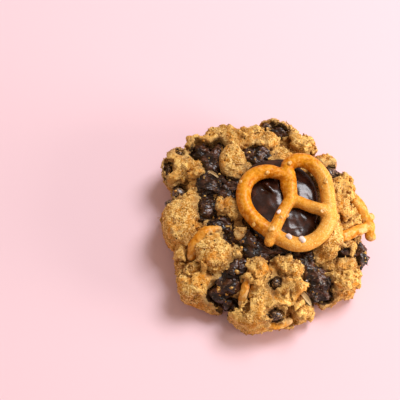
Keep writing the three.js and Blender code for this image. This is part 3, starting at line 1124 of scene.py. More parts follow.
@dataclass(frozen=True)
class Baking:
    """How strands come out of the oven: joined softly, with dents and blisters. Lengths are millimetres."""

    join: float  # how far from a joint strands blend
    dent: Pair  # size and depth
    blister: Pair  # size and depth
    room: float  # how far the lattice goes on round the strands' points
    cell: float = 0.32
    ease: float = 0.5  # how much the surface is relaxed

    def surface(self, strands: list[Strand], noise: Noise) -> tuple[Array, Array, Array]:
        """The surface round strands.

        Args:
            strands: The strands.
            noise: The noise that dents and blisters it.

        Returns:
            Corners, faces and corner normals.
        """
        places = np.vstack([strand.through for strand in strands])
        lattice = Lattice.around(places.min(0) - self.room, places.max(0) + self.room, self.cell)
        for strand in strands:
            lattice.values = blend_union(lattice.values, strand.lay_into(lattice), self.join)
        points = lattice.points()
        dents = self.dent[1] * noise.fractal(points, self.dent[0], 2)
        lattice.values += dents + self.blister[1] * noise.wave(points, self.blister[0])
        return skin(lattice, self.ease)


def crust_numbers(
    corners: Array, normals: Array, noise: Noise, glaze_and_sheen: Array, bare: Array
) -> dict[str, Array]:
    """Numbers at a piece's corners that the crust's finish reads, each from 0 to 1.

    Args:
        corners: The corners.
        normals: The surface's normal at each.
        noise: The noise that makes the borders uneven.
        glaze_and_sheen: How thick the glaze dried there, and on the mini pretzel a painted sheen on the side
            towards the side light.
        bare: Whether the skin is broken off there.

    Returns:
        Each number by its name. Under is how far a corner faces down, where the crust is darkened as painted
        shade, and crest_highlight how far up, where it is paled as a painted highlight.
    """
    return {
        # painted shade underneath, painted highlight on top
        "under": smooth_step(-normals[:, 2], -0.45, 0.6),
        "crest_highlight": smooth_step(normals[:, 2] + 0.25 * noise.wave(corners, 3.0), 0.7, 1.05),
        "glaze_and_sheen": glaze_and_sheen,
        "bare": bare,
    }


@dataclass
class MiniPretzel:
    """The whole mini twist pretzel, pressed into the cookie's top: one loop and two arms, baked together."""

    centre: Triple = (6.4, 4.1, 25.7)
    tilt: float = 5.0  # degrees, its belly lower than its lobes
    belly: float = 2.95  # mm, the strand's radius where it is thickest
    arm: float = 2.4  # mm, radius of the arms, and of the loop's ends
    arm_end: float = 2.0
    baking: Baking = Baking(join=0.7, dent=(4.5, 0.16), blister=(1.1, 0.05), room=5.0)
    crust: PretzelCrust = PretzelCrust()

    SHEEN_SIDE = (0.8, -0.6, 0.0)  # the way towards the side light, where the crust is painted paler as a sheen

    # Up round one lobe, along the belly and round the other lobe, notch to notch.
    LOOP = (
        (1.2, 11.6, 0), (-2.8, 12.5, 0), (-7.2, 13.2, 0), (-11.7, 11.7, 0), (-15, 8.3, 0),
        (-16.2, 3.6, 0), (-15.2, -2.1, 0), (-11.6, -7.1, 0), (-7.4, -10.8, 0), (-4.4, -13, 0),
        (-0.5, -15.4, 0), (4.8, -17, 0), (10.3, -15.6, 0), (14.6, -11.9, 0), (16.9, -7.4, 0),
        (17.2, -3.6, 0), (16.8, 0.5, 0), (16.4, 5.7, 0), (15, 11, 0), (12, 15.1, 0),
        (8.4, 17.4, 0), (4.8, 17.6, 0), (1.9, 16.2, 0), (0.7, 13.4, 0), (1.4, 10.4, 0),
    )
    LEFT_ARM = (
        (2.2, 12.4, 0), (2.4, 6.4, 0.6), (2, 1.6, 0.8), (-0.3, -2.6, 0.4),
        (-3.1, -8.2, 0.5), (-4.7, -12, 1.6), (-6.4, -15.9, 0.4),
    )
    RIGHT_ARM = (
        (0.2, 11.6, 0), (0.9, 6.4, -0.4), (2.6, 1.4, -0.5), (5.6, 0.2, 0.2),
        (10, -1.6, 0.4), (14.2, -3.3, 1.4), (18.9, -6, 0.4),
    )

    def placed(self, own: Iterable[Triple]) -> Array:
        """Places in the pretzel's own plane, tilted and set down on the cookie.

        Args:
            own: Places in the pretzel's own plane.

        Returns:
            Where they are in the cookie's frame.
        """
        angle = math.radians(self.tilt)
        c, s = math.cos(angle), math.sin(angle)
        turned = np.array(list(own), float) @ np.array([[1, 0, 0], [0, c, s], [0, -s, c]])
        return turned + in_frame([self.centre])

    def strands(self) -> list[Strand]:
        """The loop and the two arms."""
        return [
            Strand(self.placed(self.LOOP), self.belly, self.arm),
            Strand(self.placed(self.LEFT_ARM), self.arm, self.arm_end),
            Strand(self.placed(self.RIGHT_ARM), self.arm, self.arm_end),
        ]

    def build(self, noise: Noise) -> None:
        """Makes the pretzel.

        Args:
            noise: The noise that dents it.
        """
        corners, faces, normals = self.baking.surface(self.strands(), noise)
        # painted sheen: the crust is paler towards the side light
        across = (corners - in_frame([self.centre])) @ self.SHEEN_SIDE
        glaze_and_sheen = smooth_step(across + 7.0 * noise.wave(corners, 6.0), -4.0, 18.0)
        numbers = crust_numbers(corners, normals, noise, glaze_and_sheen, np.zeros(len(corners)))
        crust = self.crust.build()
        make_piece("mini_pretzel", corners, faces, crust, ["top_pretzel"], numbers)


@dataclass
class BrokenPretzel:
    """Broken pieces of pretzel baked into the dough."""

    baking: Baking = Baking(join=0.6, dent=(3.0, 0.4), blister=(1.0, 0.14), room=4.0)
    crust: PretzelCrust = PretzelCrust(
        "baked_in_pretzel_crust", crown=0xCE7C0C, side=0x965010, pale=0xE49C30, roughness=0.55
    )

    TORN_SIDE = (0.55, -0.35, 0.0)  # the way that the side torn open faces
    # The share of its length that a piece is full for, and its ends' share of its radius.
    WHOLE = (0.72, 0.9)
    WORN = {"pretzel_fragment_left": (0.35, 0.6), "pretzel_fragment_middle": (0.3, 0.7)}
    # For each rope of a piece, its radius and the points that it runs through.
    PIECES = {
        "pretzel_fragment_side": (
            (2.2, ((27, -7.4, 16.8), (32.6, -4.6, 15.8), (38.4, -1, 13.4))),
            (
                2.4,
                ((40.6, -4, 11.8), (40, 0.4, 12.4), (37.4, 6.2, 13.8), (33.6, 11.6, 15), (29.4, 15.8, 16.2)),
            ),
            (2.0, ((38, 2.4, 13), (41, 4, 11.8))),
        ),
        "pretzel_fragment_left": (
            (2.8, ((-30.4, -14.4, 15.2), (-28.2, -10, 17.8), (-24.6, -6.4, 19.4), (-19.8, -4.2, 19.6))),
        ),
        "pretzel_fragment_middle": ((1.8, ((-10.8, -33.2, 13.4), (-9.6, -29.2, 16.6), (-8.4, -25.4, 18.8))),),
        "pretzel_fragment_front": ((1.6, ((-0.4, -40.3, 8.4), (3.6, -40.5, 8.8), (7.6, -38.8, 9.6))),),
    }

    def strands(self, node: str) -> list[Strand]:
        """The ropes of one piece.

        Args:
            node: The piece's CAD node.

        Returns:
            Its ropes.
        """
        full, end = self.WORN.get(node, self.WHOLE)
        return [
            Strand(in_frame(through), radius, radius * end, full) for radius, through in self.PIECES[node]
        ]

    def build(self, noise: Noise) -> None:
        """Makes each piece, with its ends broken off rough.

        Args:
            noise: The noise that dents and breaks them.
        """
        crust = self.crust.build()
        for node in self.PIECES:
            strands = self.strands(node)
            corners, faces, normals = self.baking.surface(strands, noise)
            ends = np.vstack([strand.through[[0, -1]] for strand in strands])
            away = np.linalg.norm(corners[:, None] - ends[None], axis=2).min(1)
            torn = normals @ self.TORN_SIDE + 0.7 * noise.wave(corners, 2.6) + 0.3 * noise.wave(corners, 0.9)
            bare = np.maximum(
                0.8 * smooth_step(-away + noise.wave(corners, 1.5), -2.2, -1.2),
                0.7 * smooth_step(torn, 0.4, 0.6),
            )
            glaze_and_sheen = smooth_step(noise.wave(corners, 4.0), -0.2, 0.5)
            numbers = crust_numbers(corners, normals, noise, glaze_and_sheen, bare)
            name = node.replace("pretzel_fragment", "broken_pretzel")
            make_piece(name, corners, faces, crust, [node], numbers)


# ---------- chocolate ----------


@dataclass
class Lump:
    """One lump of chocolate: its CAD node, and the ellipsoid that it fills there."""

    node: str
    centre: Array
    half: Array
    turn: float = 0.0  # degrees

    def pit(self, points: Array, throat: float) -> Array:
        """Distance to the pit round the lump: its ellipsoid, with its upper half drawn up by throat.

        Over the middle the pit also opens out, to twice its width at flare millimetres up.

        Args:
            points: The points.
            throat: How far, in millimetres.

        Returns:
            The distances, negative inside.
        """
        flare = 14.0
        lift = points[..., 2] - self.centre[2]
        raised = points.copy()
        raised[..., 2] = np.where(
            lift > 0, self.centre[2] + lift * self.half[2] / (self.half[2] + throat), points[..., 2]
        )
        opening = 1.0 + np.maximum(lift, 0.0) / flare
        raised[..., :2] = self.centre[:2] + (raised[..., :2] - self.centre[:2]) / opening[..., None]
        return ellipsoid(raised.astype(np.float32), self.centre, self.half, self.turn)


def lumps_of(stem: str, count: int) -> list[Lump]:
    """The lumps of the CAD nodes whose names are a stem and a number."""
    names = [f"{stem}_{i + 1:02d}" for i in range(count)]
    return [Lump(name, *node_box(name)) for name in names]


def joined_groups(lumps: list[Lump], gap: float) -> list[list[Lump]]:
    """Lumps sorted into groups, so that lumps within gap of each other are together, and chains of them.

    Args:
        lumps: The lumps to sort.
        gap: The widest gap that melted chocolate closes, in millimetres.

    Returns:
        The groups, each a list of lumps.
    """
    groups: list[list[Lump]] = []
    for lump in lumps:
        near = [
            group
            for group in groups
            if any(
                np.linalg.norm(lump.centre - other.centre)
                < np.mean(lump.half) + np.mean(other.half) + gap
                for other in group
            )
        ]
        groups = [group for group in groups if group not in near] + [[lump, *sum(near, [])]]
    return groups


@dataclass
class MeltedChunks:
    """Chopped chocolate that melted together in the valleys between the clods."""

    lumps: list[Lump]
    finish: Chocolate
    gap: float = 1.2  # mm between lumps that ran together
    spread: float = 2.3  # mm that a lump runs out past its CAD node, under the dough round it
    sag: float = 1.9  # mm that its top lies lower than the node's
    brim: Pair = (29.0, 36.0)  # mm from the middle, between which lumps stop spreading
    pull: float = 0.03  # share of its place by which a lump past the brim lies nearer to the middle
    merge: float = 1.6  # mm over which lumps blend
    drifts: tuple[Pair, ...] = ((4.6, 1.4), (2.0, 0.5))  # mm, size and reach of what bends them
    shard: float = 1.9  # mm, size of the shards
    splinter: float = 1.0  # mm, size of the smaller ones
    lie: float = 28.0  # degrees that the shards' length is turned
    cell: float = 0.4

    def shards(self, points: Array, noise: Noise) -> Array:
        """How far shards, ridges and folds stand out or in, at points near the surface.

        Shards are long grains of two sizes, each higher or lower by a step. Ridges run along them where a
        stretched noise crosses zero.

        Args:
            points: The points.
            noise: The noise that shapes it.

        Returns:
            How far, in millimetres.
        """
        along = about_z(points, self.lie) * np.array([0.42, 1.0, 0.8], np.float32)
        across = about_z(points, -50.0) * (0.6, 1.0, 0.8)
        _, _, step = noise.grains(noise.warp(along, 2.4, 0.8), self.shard)
        _, _, small_step = noise.grains(noise.warp(across, 1.3, 0.4), self.splinter)
        ridges = np.exp(-((noise.wave(along, 2.4) / 0.25) ** 2))
        steps = 1.3 * (step - 0.5) + 0.4 * (small_step - 0.5)
        return steps + 0.7 * ridges + 0.7 * noise.wave(points, 3.6) - 0.3

    def build(self, noise: Noise) -> list[tuple[Array, Array]]:
        """Makes one piece for each group of lumps that ran together.

        Its field is the blended union of the lumps' ellipsoids on warped places, then broken into shards.

        Args:
            noise: The noise that shapes it.

        Returns:
            Corners and normals of each piece.
        """
        material = self.finish.build()
        surfaces = []
        for i, group in enumerate(joined_groups(self.lumps, self.gap)):
            low = np.min([lump.centre - lump.half for lump in group], axis=0) - self.spread - 2.0
            high = np.max([lump.centre + lump.half for lump in group], axis=0) + self.spread + 2.0
            lattice = Lattice.around(low, high, self.cell)
            points = lattice.points()
            bent = points + lattice.drift(noise, *self.drifts)
            for lump in group:
                inner = 1.0 - float(smooth_step(np.hypot(*lump.centre[:2]), *self.brim))
                half = lump.half + np.array([1.0, 1.0, 0.0]) * self.spread * inner
                nearer = 1 - self.pull * (1 - inner)
                sunk = lump.centre * (nearer, nearer, 1) - (0, 0, self.sag * inner)
                lattice.values = blend_union(lattice.values, ellipsoid(bent, sunk, half), self.merge)
            band = np.abs(lattice.values) < 2.2
            lattice.values[band] -= self.shards(points[band], noise)
            corners, faces, normals = skin(lattice, 0.1)
            surfaces.append((corners, normals))
            nodes = [lump.node for lump in group]
            make_piece(f"melted_chocolate_{i + 1:02d}", corners, faces, material, nodes)
        return surfaces


@dataclass
class Chips:
    """Chocolate chips that kept their shape: short drops with a blunt point."""

    lumps: list[Lump]
    finish: Chocolate
    sink: float = 0.025  # share of its place by which a chip at the rim lies nearer to the cookie's middle
    at_rim: tuple[int, ...] = (0, 1)
    rise: float = 0.3  # mm that the other chips lie higher than their CAD nodes
    lean: Triple = (0.5, 0.0, 0.85)  # the way the first chip's point leans
    turn: float = 47.0  # degrees that each next one leans further round
    point: float = 0.38  # how much its point is drawn in
    bend: Pair = (3.4, 0.5)  # mm, size and reach of what bends it
    facet: float = 1.9  # mm, size of its facets
    facet_step: float = 0.35  # mm between the highest of them and the lowest
    facet_rise: float = 0.25  # how round they are
    cell: float = 0.3

    def build(self, noise: Noise) -> list[tuple[Array, Array]]:
        """Makes each chip: an ellipsoid drawn in towards a point, on gently warped places.

        Args:
            noise: The noise that shapes it.

        Returns:
            Corners and normals of each piece.
        """
        material = self.finish.build()
        surfaces = []
        for i, lump in enumerate(self.lumps):
            reach = lump.half
            sunk = lump.centre * (1 - self.sink) if i in self.at_rim else lump.centre + (0, 0, self.rise)
            lattice = Lattice.around(sunk - reach - 1.0, sunk + reach + 1.0, self.cell)
            bent = noise.warp(lattice.points(), *self.bend)
            lean = about_z(np.array([self.lean]), self.turn * i)[0].astype(np.float32)
            along = np.clip(((bent - sunk) @ lean) / reach.mean(), -1.0, 1.2)
            taper = 1.0 + self.point * np.maximum(along, 0.0) ** 1.5
            drawn = (sunk + (bent - sunk) * taper[..., None]).astype(np.float32)
            lattice.values = ellipsoid(drawn, sunk, reach)
            nearest, _, step = noise.grains(bent, self.facet)
            lattice.values += self.facet_step * (step - 0.5) + self.facet_rise * (nearest - 0.45)
            corners, faces, normals = skin(lattice, 0.35)
            surfaces.append((corners, normals))
            name = f"chocolate_drop_chip_{i + 1:02d}"
            make_piece(name, corners, faces, material, [lump.node])
        return surfaces


@dataclass
class MeltedDrop:
    """The large drop of chocolate that the pretzel was pressed onto: a low dome with a folded-over tip."""

    finish: Chocolate
    rings: int = 120
    spokes: int = 300
    half: Triple = (15.4, 19.4, 4.6)
    turn: float = 12.0  # degrees
    tip: Pair = (-1.2, 12.3)  # mm, place of the folded tip
    fold: Pair = (4.6, -5.1)  # mm, from the tip to the fold's far end
    tip_height: float = 1.3  # mm, and the fold's
    lip: float = 5.2  # mm, radius of the raised lip round the tip
    lip_height: float = 0.75
    hollow_depth: float = 0.8
    wave: Pair = (6.5, 0.6)  # mm, size and height of its slow waves
    streak: Pair = (2.0, 0.16)  # mm, width and height of its streaks

    def lump(self) -> Lump:
        """The ellipsoid that the drop fills."""
        centre, _ = node_box("chocolate_drop")
        return Lump("chocolate_drop", centre, np.array(self.half), self.turn)

    def height(self, x: Array, y: Array) -> Array:
        """How far folds lift the dome, at places measured from the tip.

        A rounded tip, a fold that runs out of it, steep on one side and easy on the other, a hollow beside
        the fold, and a thin lip along part of a circle round the tip.

        Args:
            x: Places along X.
            y: Places along Y.

        Returns:
            How far, in millimetres.
        """
        away = np.hypot(x, y)
        reach = math.hypot(*self.fold)
        along = (x * self.fold[0] + y * self.fold[1]) / reach
        beside = (x * -self.fold[1] + y * self.fold[0]) / reach
        tip = self.tip_height * np.exp(-((away / 1.5) ** 2))
        width = np.where(beside < 0, 0.5, 1.9)
        fading = smooth_step(along, -0.8, 0.6) * smooth_step(-along, -reach, -reach * 0.45)
        fold = self.tip_height * fading * np.exp(-((beside / width) ** 2))
        hollow = -self.hollow_depth * np.exp(-(((beside + 1.3) / 0.9) ** 2) - ((along - 1.2) / 2.0) ** 2)
        angle = np.arctan2(y, x)
        arc = smooth_step(np.cos(angle - 1.35), -0.05, 0.5)
        lip = self.lip_height * arc * np.exp(-(((away - self.lip) / 0.55) ** 2))
        return tip + fold + hollow + lip

    def build(self, noise: Noise) -> None:
        """Makes the drop as a closed surface on rings and spokes.

        Ring 0 is near the top's middle and the last ring near the underside's. With s running from 0 to 1,
        the rings lie at sin(pi s)^0.8 of the outline's radius and at height cos(pi s)^0.8.

        Args:
            noise: The noise that waves and streaks it.
        """
        centre, half = self.lump().centre, self.half
        s = np.linspace(0.0, 1.0, self.rings)[1:-1, None]
        angle = np.linspace(0.0, 2 * math.pi, self.spokes, endpoint=False)[None, :]
        outline = 1.0 + 0.025 * np.sin(3 * angle + 0.5) + 0.015 * np.sin(7 * angle)
        out = np.sin(np.pi * s) ** 0.8 * outline
        rise = np.sign(np.cos(np.pi * s)) * np.abs(np.cos(np.pi * s)) ** 0.8
        flat = np.stack([half[0] * out * np.cos(angle), half[1] * out * np.sin(angle), 0 * out * angle], -1)
        x, y, _ = np.moveaxis(about_z(flat, self.turn) + centre, -1, 0)
        z = centre[2] + half[2] * rise + 0 * angle
        tip = in_frame([(*self.tip, 0.0)])[0]
        upper = smooth_step(rise, 0.1, 0.8)
        flat = np.stack([x, y, 0 * z], -1)
        z += upper * (self.height(x - tip[0], y - tip[1]) - 0.6)
        streaks = noise.wave(about_z(flat, -20.0) * (1.0, 0.35, 1.0), self.streak[0])
        z += upper * (self.wave[1] * noise.wave(flat, self.wave[0]) + self.streak[1] * streaks)
        ring = np.stack([x, y, z], -1).reshape(-1, 3)
        corners, triangles = capped(ring, self.rings - 2, self.spokes)
        make_piece("melted_drop", corners, triangles, self.finish.build(), ["chocolate_drop"])


# ---------- dough ----------


@dataclass(frozen=True)
class Clod:
    """A lump that the dough baked into: an ellipsoid's middle, half-axes and turn about the upright axis."""

    at: Triple
    size: Triple
    turn: float = 0.0
    crumble: float = 0.55  # how broken its surface is, from 0, smooth, to 1
    over: bool = False  # whether it lies over the chocolate next to it


@dataclass(frozen=True)
class Cracks:
    """Cracks along the borders between grains of one size, where a slow noise lets them. Lengths are mm."""

    spacing: float
    depth: float
    width: float  # half of it
    bend: Pair  # size of the borders' bends, and their reach
    patch: float  # size of the patches that crack
    full: float  # the slow noise from which cracks are as deep as they get
    lean: float  # how much likelier they are where the dough is broken
    shift: float  # where the grains are taken from, so that two sets of cracks differ
    patch_shift: float

    def depths(self, points: Array, broken: Array, noise: Noise) -> Array:
        """Depth of the cracks at points: a bell curve of the distance from the nearest border.

        Args:
            points: The points.
            broken: How broken the dough is there.
            noise: The noise that shapes it.

        Returns:
            The depths in millimetres.
        """
        first, second, _ = noise.grains(noise.warp(points + self.shift, *self.bend), self.spacing)
        border = 0.5 * self.spacing * (second - first)
        slow = noise.wave(points + self.patch_shift, self.patch) + self.lean * broken
        return self.depth * smooth_step(slow, 0.0, self.full) * np.exp(-((border / self.width) ** 2))


@dataclass(frozen=True)
class Crumbs:
    """Loose crumbs on a surface: the piece's name, how many, and half the least and most width in mm."""

    name: str
    count: int
    sizes: Pair
    squash: Pair = (0.4, 1.9)  # least and most of a crumb's width along an axis, over its size
    rough: float = 0.25  # share by which its corners stand out or in
    lift: float = 0.08  # mm that its middle lies over the surface


@dataclass
class Dough:
    """The baked dough, one piece: a smooth body under big clods, with small clods and crumb all over."""

    noise: Noise
    rim: tuple[float, ...] = (
        39, 39.5, 38.5, 38, 38.5, 42, 44, 43.5, 45.5, 46, 46, 42.5,
        42, 41, 41, 41, 39, 42, 43, 40.5, 36.5, 39.5, 41.5, 41,
    )  # outline radius at every 15 degrees from +X towards +Y
    body_share: float = 0.93  # of the outline's radius, at the smooth body's widest section
    foot_share: float = 0.86  # of the body's radius, on the tray
    dome: float = 0.7  # how round its top is
    belly_height: float = 8.0  # mm, its widest section
    body_height: float = 20.2
    low: Triple = (-46.5, -48.5, -0.6)  # mm, corners of the lattice
    high: Triple = (44.5, 49.0, 27.0)
    cell: float = 0.615
    seed: int = 12
    joint: float = 1.8  # mm over which big clods blend
    small_joint: float = 0.7  # mm, small ones
    upper_joint: float = 0.3  # mm, those over chocolate
    pit_edge: float = 0.5  # mm over which the edges of pits and hollows are rounded
    drifts: tuple[Pair, ...] = ((7.5, 0.9), (2.9, 0.35))  # mm, size and reach of what bends clods
    pit_drift: Pair = (2.4, 1.3)  # mm, the same for chocolate pits
    throat: float = 7.0  # mm that a chocolate pit is drawn up
    pit_gap: float = 0.3  # mm round the lump
    seat: float = 0.05  # mm that a strand's groove is deeper than the strand
    groove_edge: float = 0.4  # mm over which its edges are rounded
    crust_depth: float = 2.4  # mm from the surface, within which it is crumbled
    small_clods: int = 70
    large_cracks: Cracks = Cracks(
        8.5, 1.7, 0.42, bend=(5.0, 1.8), patch=13.0, full=0.45, lean=0.4, shift=0.0, patch_shift=50.0
    )
    small_cracks: Cracks = Cracks(
        4.2, 0.75, 0.36, bend=(2.2, 0.9), patch=7.0, full=0.35, lean=0.3, shift=9.0, patch_shift=80.0
    )
    flat_size: float = 3.2  # mm, flats where it crumbles
    flat_step: float = 1.3  # mm between the highest of them and the lowest
    crumb_size: float = 1.4  # mm
    crumb_depth: Pair = (0.25, 0.45)  # mm, where the dough is whole, and what breaking adds
    waves: tuple[Pair, ...] = ((2.6, 0.12), (1.1, 0.14))  # mm, size and depth of the fine unevenness
    on_dough: Crumbs = Crumbs("dough_crumbs", 3200, (0.15, 0.5))
    on_chocolate: Crumbs = Crumbs("crumbs_on_chocolate", 80, (0.25, 0.9))
    finish: BakedDough = BakedDough()
    lattice: Lattice = field(init=False)
    points: Array = field(init=False)  # the lattice's
    drift: Array = field(init=False)  # how far each point is moved, so that clods are uneven
    broken: Array = field(init=False)  # how broken the dough is at each point
    cocoa: Lattice = field(init=False)  # distances to the chocolate

    CLODS = (
        Clod((5.8, 41.1, 11), (9, 4.6, 7.8), -22, crumble=0.8),
        Clod((14.8, 34.2, 11.5), (6, 4.8, 7.5), -38),
        Clod((-3, 36.2, 14), (8.5, 6.5, 7), crumble=0.5),
        Clod((-11, 35.5, 13.5), (5.5, 5.5, 6.5)),
        Clod((-18.5, 38.6, 11.5), (8, 5.2, 7.2), 12),
        Clod((-28.8, 35, 11), (5, 4, 7), 45),
        Clod((-13.6, 23.8, 18.6), (5.4, 8.4, 5.6), 8, crumble=0.0, over=True),
        Clod((-35.2, 24.6, 11.5), (7, 8.5, 8.5), crumble=0.35),
        Clod((-28.8, 22, 15.2), (4.4, 4.6, 5)),
        Clod((-15, 3.6, 20.2), (6.6, 4.3, 3.9), -30, crumble=0.4, over=True),
        Clod((-30, 8.6, 16), (4.6, 4.2, 4.6)),
        Clod((-34.2, 1, 11.5), (7.8, 11, 9.5), crumble=0.2),
        Clod((-20.8, -12.6, 16), (8.6, 9, 7), 15, crumble=0.25),
        Clod((-28.2, -23.6, 8.8), (8, 8.2, 8.4), crumble=0.3),
        Clod((-18.8, -28.2, 5.4), (9, 6, 5.4), crumble=0.3),
        Clod((-10.8, -6.8, 21.4), (2.7, 2.9, 2.6), crumble=0.7, over=True),
        Clod((-12, -15.3, 21), (2.8, 2.2, 2.4), crumble=0.7, over=True),
        Clod((-5.2, -22.2, 17.8), (6.2, 5.8, 5.6), crumble=0.8),
        Clod((-6.5, -33.8, 8.4), (10, 8.6, 8.8), crumble=0.25),
        Clod((5.5, -33.2, 8.4), (10, 7.6, 8.8), crumble=0.4),
        Clod((-0.6, -34.2, 8.8), (8, 7.2, 8.6), crumble=0.3),
        Clod((12.8, -32.4, 6.4), (5.4, 5, 6.6)),
        Clod((8.6, -19.2, 18.8), (6.6, 4.8, 4.8), crumble=0.9),
        Clod((8.4, -27.6, 14.8), (7.4, 4.6, 5.6), crumble=0.9),
        Clod((24, -8.2, 17), (5.4, 8.5, 6.2), crumble=0.3),
        Clod((29.2, -20.6, 8.8), (7, 7.8, 8.8), crumble=0.8),
        Clod((22.4, -26.4, 4.6), (6.8, 4.2, 4.6)),
        Clod((34.2, -12.4, 12), (5, 5.5, 6.5)),
        Clod((29.6, 13, 11.8), (5.8, 10.2, 9), crumble=0.9),
        Clod((28.2, 5.2, 15.5), (5, 5.5, 5.6), crumble=0.9),
        Clod((23.2, 26.2, 12.4), (4.8, 4, 6.2)),
        Clod((21, 18.6, 17.6), (4.2, 6.5, 4.8), 20, crumble=0.8),
        Clod((34.6, 3.4, 9.8), (5, 9, 6.2)),
        Clod((-31.4, -14, 9), (5.6, 6, 8)),
        Clod((-23.6, 33.6, 15.6), (2.6, 3, 3.2)),
    )

    # Places where a bit broke away and left a hollow.
    HOLLOWS = (
        Clod((9.2, -38.8, 10.4), (2.4, 5, 6), 25),
        Clod((34.6, -4.6, 14.4), (2.8, 1.3, 2.2), 30),
        Clod((28.6, 0.6, 18.4), (1.2, 2.6, 2), 20),
        Clod((-8.5, -36.4, 14.6), (1.2, 2.4, 2), -35),
    )

    def __post_init__(self) -> None:
        """Lays out the lattice, with nothing in it yet."""
        self.lattice = Lattice.around(np.array(self.low), np.array(self.high), self.cell)
        self.cocoa = Lattice(self.lattice.low, self.lattice.cell, self.lattice.shape)
        self.points = self.lattice.points()
        self.broken = np.full(self.lattice.shape, 0.7, np.float32)
        self.drift = self.lattice.drift(self.noise, *self.drifts)

    def rim_radius(self, angle: Array) -> Array:
        """Outline radius at angles in radians, eased between the listed ones.

        Args:
            angle: The angles, anticlockwise from +X.

        Returns:
            The radii.
        """
        place = (angle / (2 * math.pi) % 1.0) * len(self.rim)
        low = np.floor(place).astype(int)
        share = place - low
        share = share * share * (3 - 2 * share)
        radii = np.array(self.rim)
        return radii[low % len(radii)] * (1 - share) + radii[(low + 1) % len(radii)] * share

    def body(self, points: Array) -> Array:
        """Distance to the smooth body, nearly.

        Above the widest section it is a dome: (r / R)^(2 / dome) + (h / H)^2 = 1, with r out from the
        middle, R the outline there, h up from the widest section and H the crown. Below, the radius eases
        in to the foot. The implicit value is divided by its own slope.

        Args:
            points: The points.

        Returns:
            The distances, negative inside.
        """
        x = points[..., 0] + FOOTPRINT_MIDDLE[0]
        y = points[..., 1] + FOOTPRINT_MIDDLE[1]
        height = points[..., 2] - self.belly_height
        out = np.hypot(x, y) + 1e-3
        widest = self.rim_radius(np.arctan2(y, x)) * self.body_share
        crown = self.body_height - self.belly_height
        power = 2 / self.dome
        share = np.minimum(out / widest, 1.6)
        dome = share**power + (height / crown) ** 2 - 1.0
        slope = np.hypot(power * share ** (power - 1) / widest, 2 * height / crown**2)
        above = dome / np.maximum(slope, 0.02)
        low = np.clip(-height / self.belly_height, 0.0, 1.0)
        below = out - widest * (self.foot_share + (1 - self.foot_share) * np.sqrt(1 - 0.999 * low**2))
        return np.where(height > 0, above, below)

    def add_clod(self, places: Array, clod: Clod, reach: float) -> None:
        """Joins one clod to the dough, in the part of the lattice near it.

        Where the clod is nearer than what is there already, the broken numbers take its crumble.

        Args:
            places: Where each lattice point is moved to.
            clod: The clod.
            reach: Distance over which it blends with the dough.
        """
        at = in_frame([clod.at])[0]
        margin = max(clod.size) + 4.0
        values = self.lattice.values
        window = self.lattice.window(at - margin, at + margin)
        away = cushion(places[window], at, np.array(clod.size), clod.turn)
        self.broken[window] = np.where(away < values[window], clod.crumble, self.broken[window])
        values[window] = blend_union(values[window], away, reach)

    def small_clod_list(self, rng: np.random.Generator) -> list[Clod]:
        """Small clods scattered over the dough's surface, as far as it stands clear of the tray.

        Args:
            rng: Where the random numbers come from.

        Returns:
            The clods.
        """
        corners, faces = self.lattice.surface()
        normals = vertex_normals(corners, faces)
        clear = np.flatnonzero(corners[:, 2] > 1.5)
        chosen = rng.choice(clear, self.small_clods, replace=False)
        sizes = rng.uniform(0.8, 2.1, (self.small_clods, 1)) * rng.uniform(0.75, 1.3, (self.small_clods, 3))
        sunk = corners[chosen] - normals[chosen] * sizes.mean(1, keepdims=True) * 0.45
        turns = rng.uniform(0, 180, self.small_clods)
        return [
            Clod(tuple(at), tuple(size), turn, 0.9)
            for at, size, turn in zip(sunk + (*FOOTPRINT_MIDDLE, 0.0), sizes, turns)
        ]

    def crag(self, points: Array, broken: Array) -> Array:
        """How far the surface stands out or in at points near it, for cracks, broken flats, crumb and grain.

        Flats are grains, each standing out by a step of its own, with steep steps between them. Crumbs are
        smaller ones. Finer waves roughen it all.

        Args:
            points: The points.
            broken: How broken the dough is there, from 0 to 1.

        Returns:
            How far, in millimetres.
        """
        noise = self.noise
        crack = self.large_cracks.depths(points, broken, noise)
        crack += self.small_cracks.depths(points, broken, noise)
        _, _, step = noise.grains(noise.warp(points, 2.6, 1.1), self.flat_size)
        nearest, _, crumb = noise.grains(noise.warp(points, 1.3, 0.45), self.crumb_size)
        depth = self.crumb_depth[0] + self.crumb_depth[1] * broken
        crumbs = depth * (0.7 * (crumb - 0.5) + 0.6 * (0.45 - nearest))
        height = self.flat_step * broken * (step - 0.5) + crumbs
        for size, reach in self.waves:
            height += reach * noise.wave(points, size)
        return height - crack

    def build(
        self,
        pretzel: MiniPretzel,
        broken: BrokenPretzel,
        lumps: list[Lump],
        chocolate: list[tuple[Array, Array]],
    ) -> None:
        """Makes the dough and the loose crumbs on it and on the chocolate.

        Args:
            pretzel: The pretzel that presses into its top.
            broken: Broken pretzel baked into it.
            lumps: The chocolate set into it.
            chocolate: Corners and normals of the surfaces of the chocolate that crumbs fell on.
        """
        lattice, points = self.lattice, self.points
        rng = np.random.default_rng(self.seed)
        self.lay_clods(rng)
        self.set_chocolate(lumps)
        self.lay_upper_clods()
        grooves = [*pretzel.strands(), *(s for node in broken.PIECES for s in broken.strands(node))]
        for strand in grooves:
            lattice.values = blend_cut(lattice.values, strand.lay_into(lattice) - self.seat, self.groove_edge)

        band = np.abs(lattice.values) < self.crust_depth
        lattice.values[band] -= self.crag(points[band], self.broken[band])
        lattice.values = np.maximum(lattice.values, 0.02 - points[..., 2])
        corners, faces = largest_part(*lattice.surface())
        corners = relaxed(corners, faces, 0.1)
        corners[:, 2] = np.maximum(corners[:, 2], 0.0)
        normals = vertex_normals(corners, faces)
        numbers = self.finish_numbers(corners, normals)
        material = self.finish.build()
        make_piece("baked_dough", corners, faces, material, ["cookie_dough"], numbers)

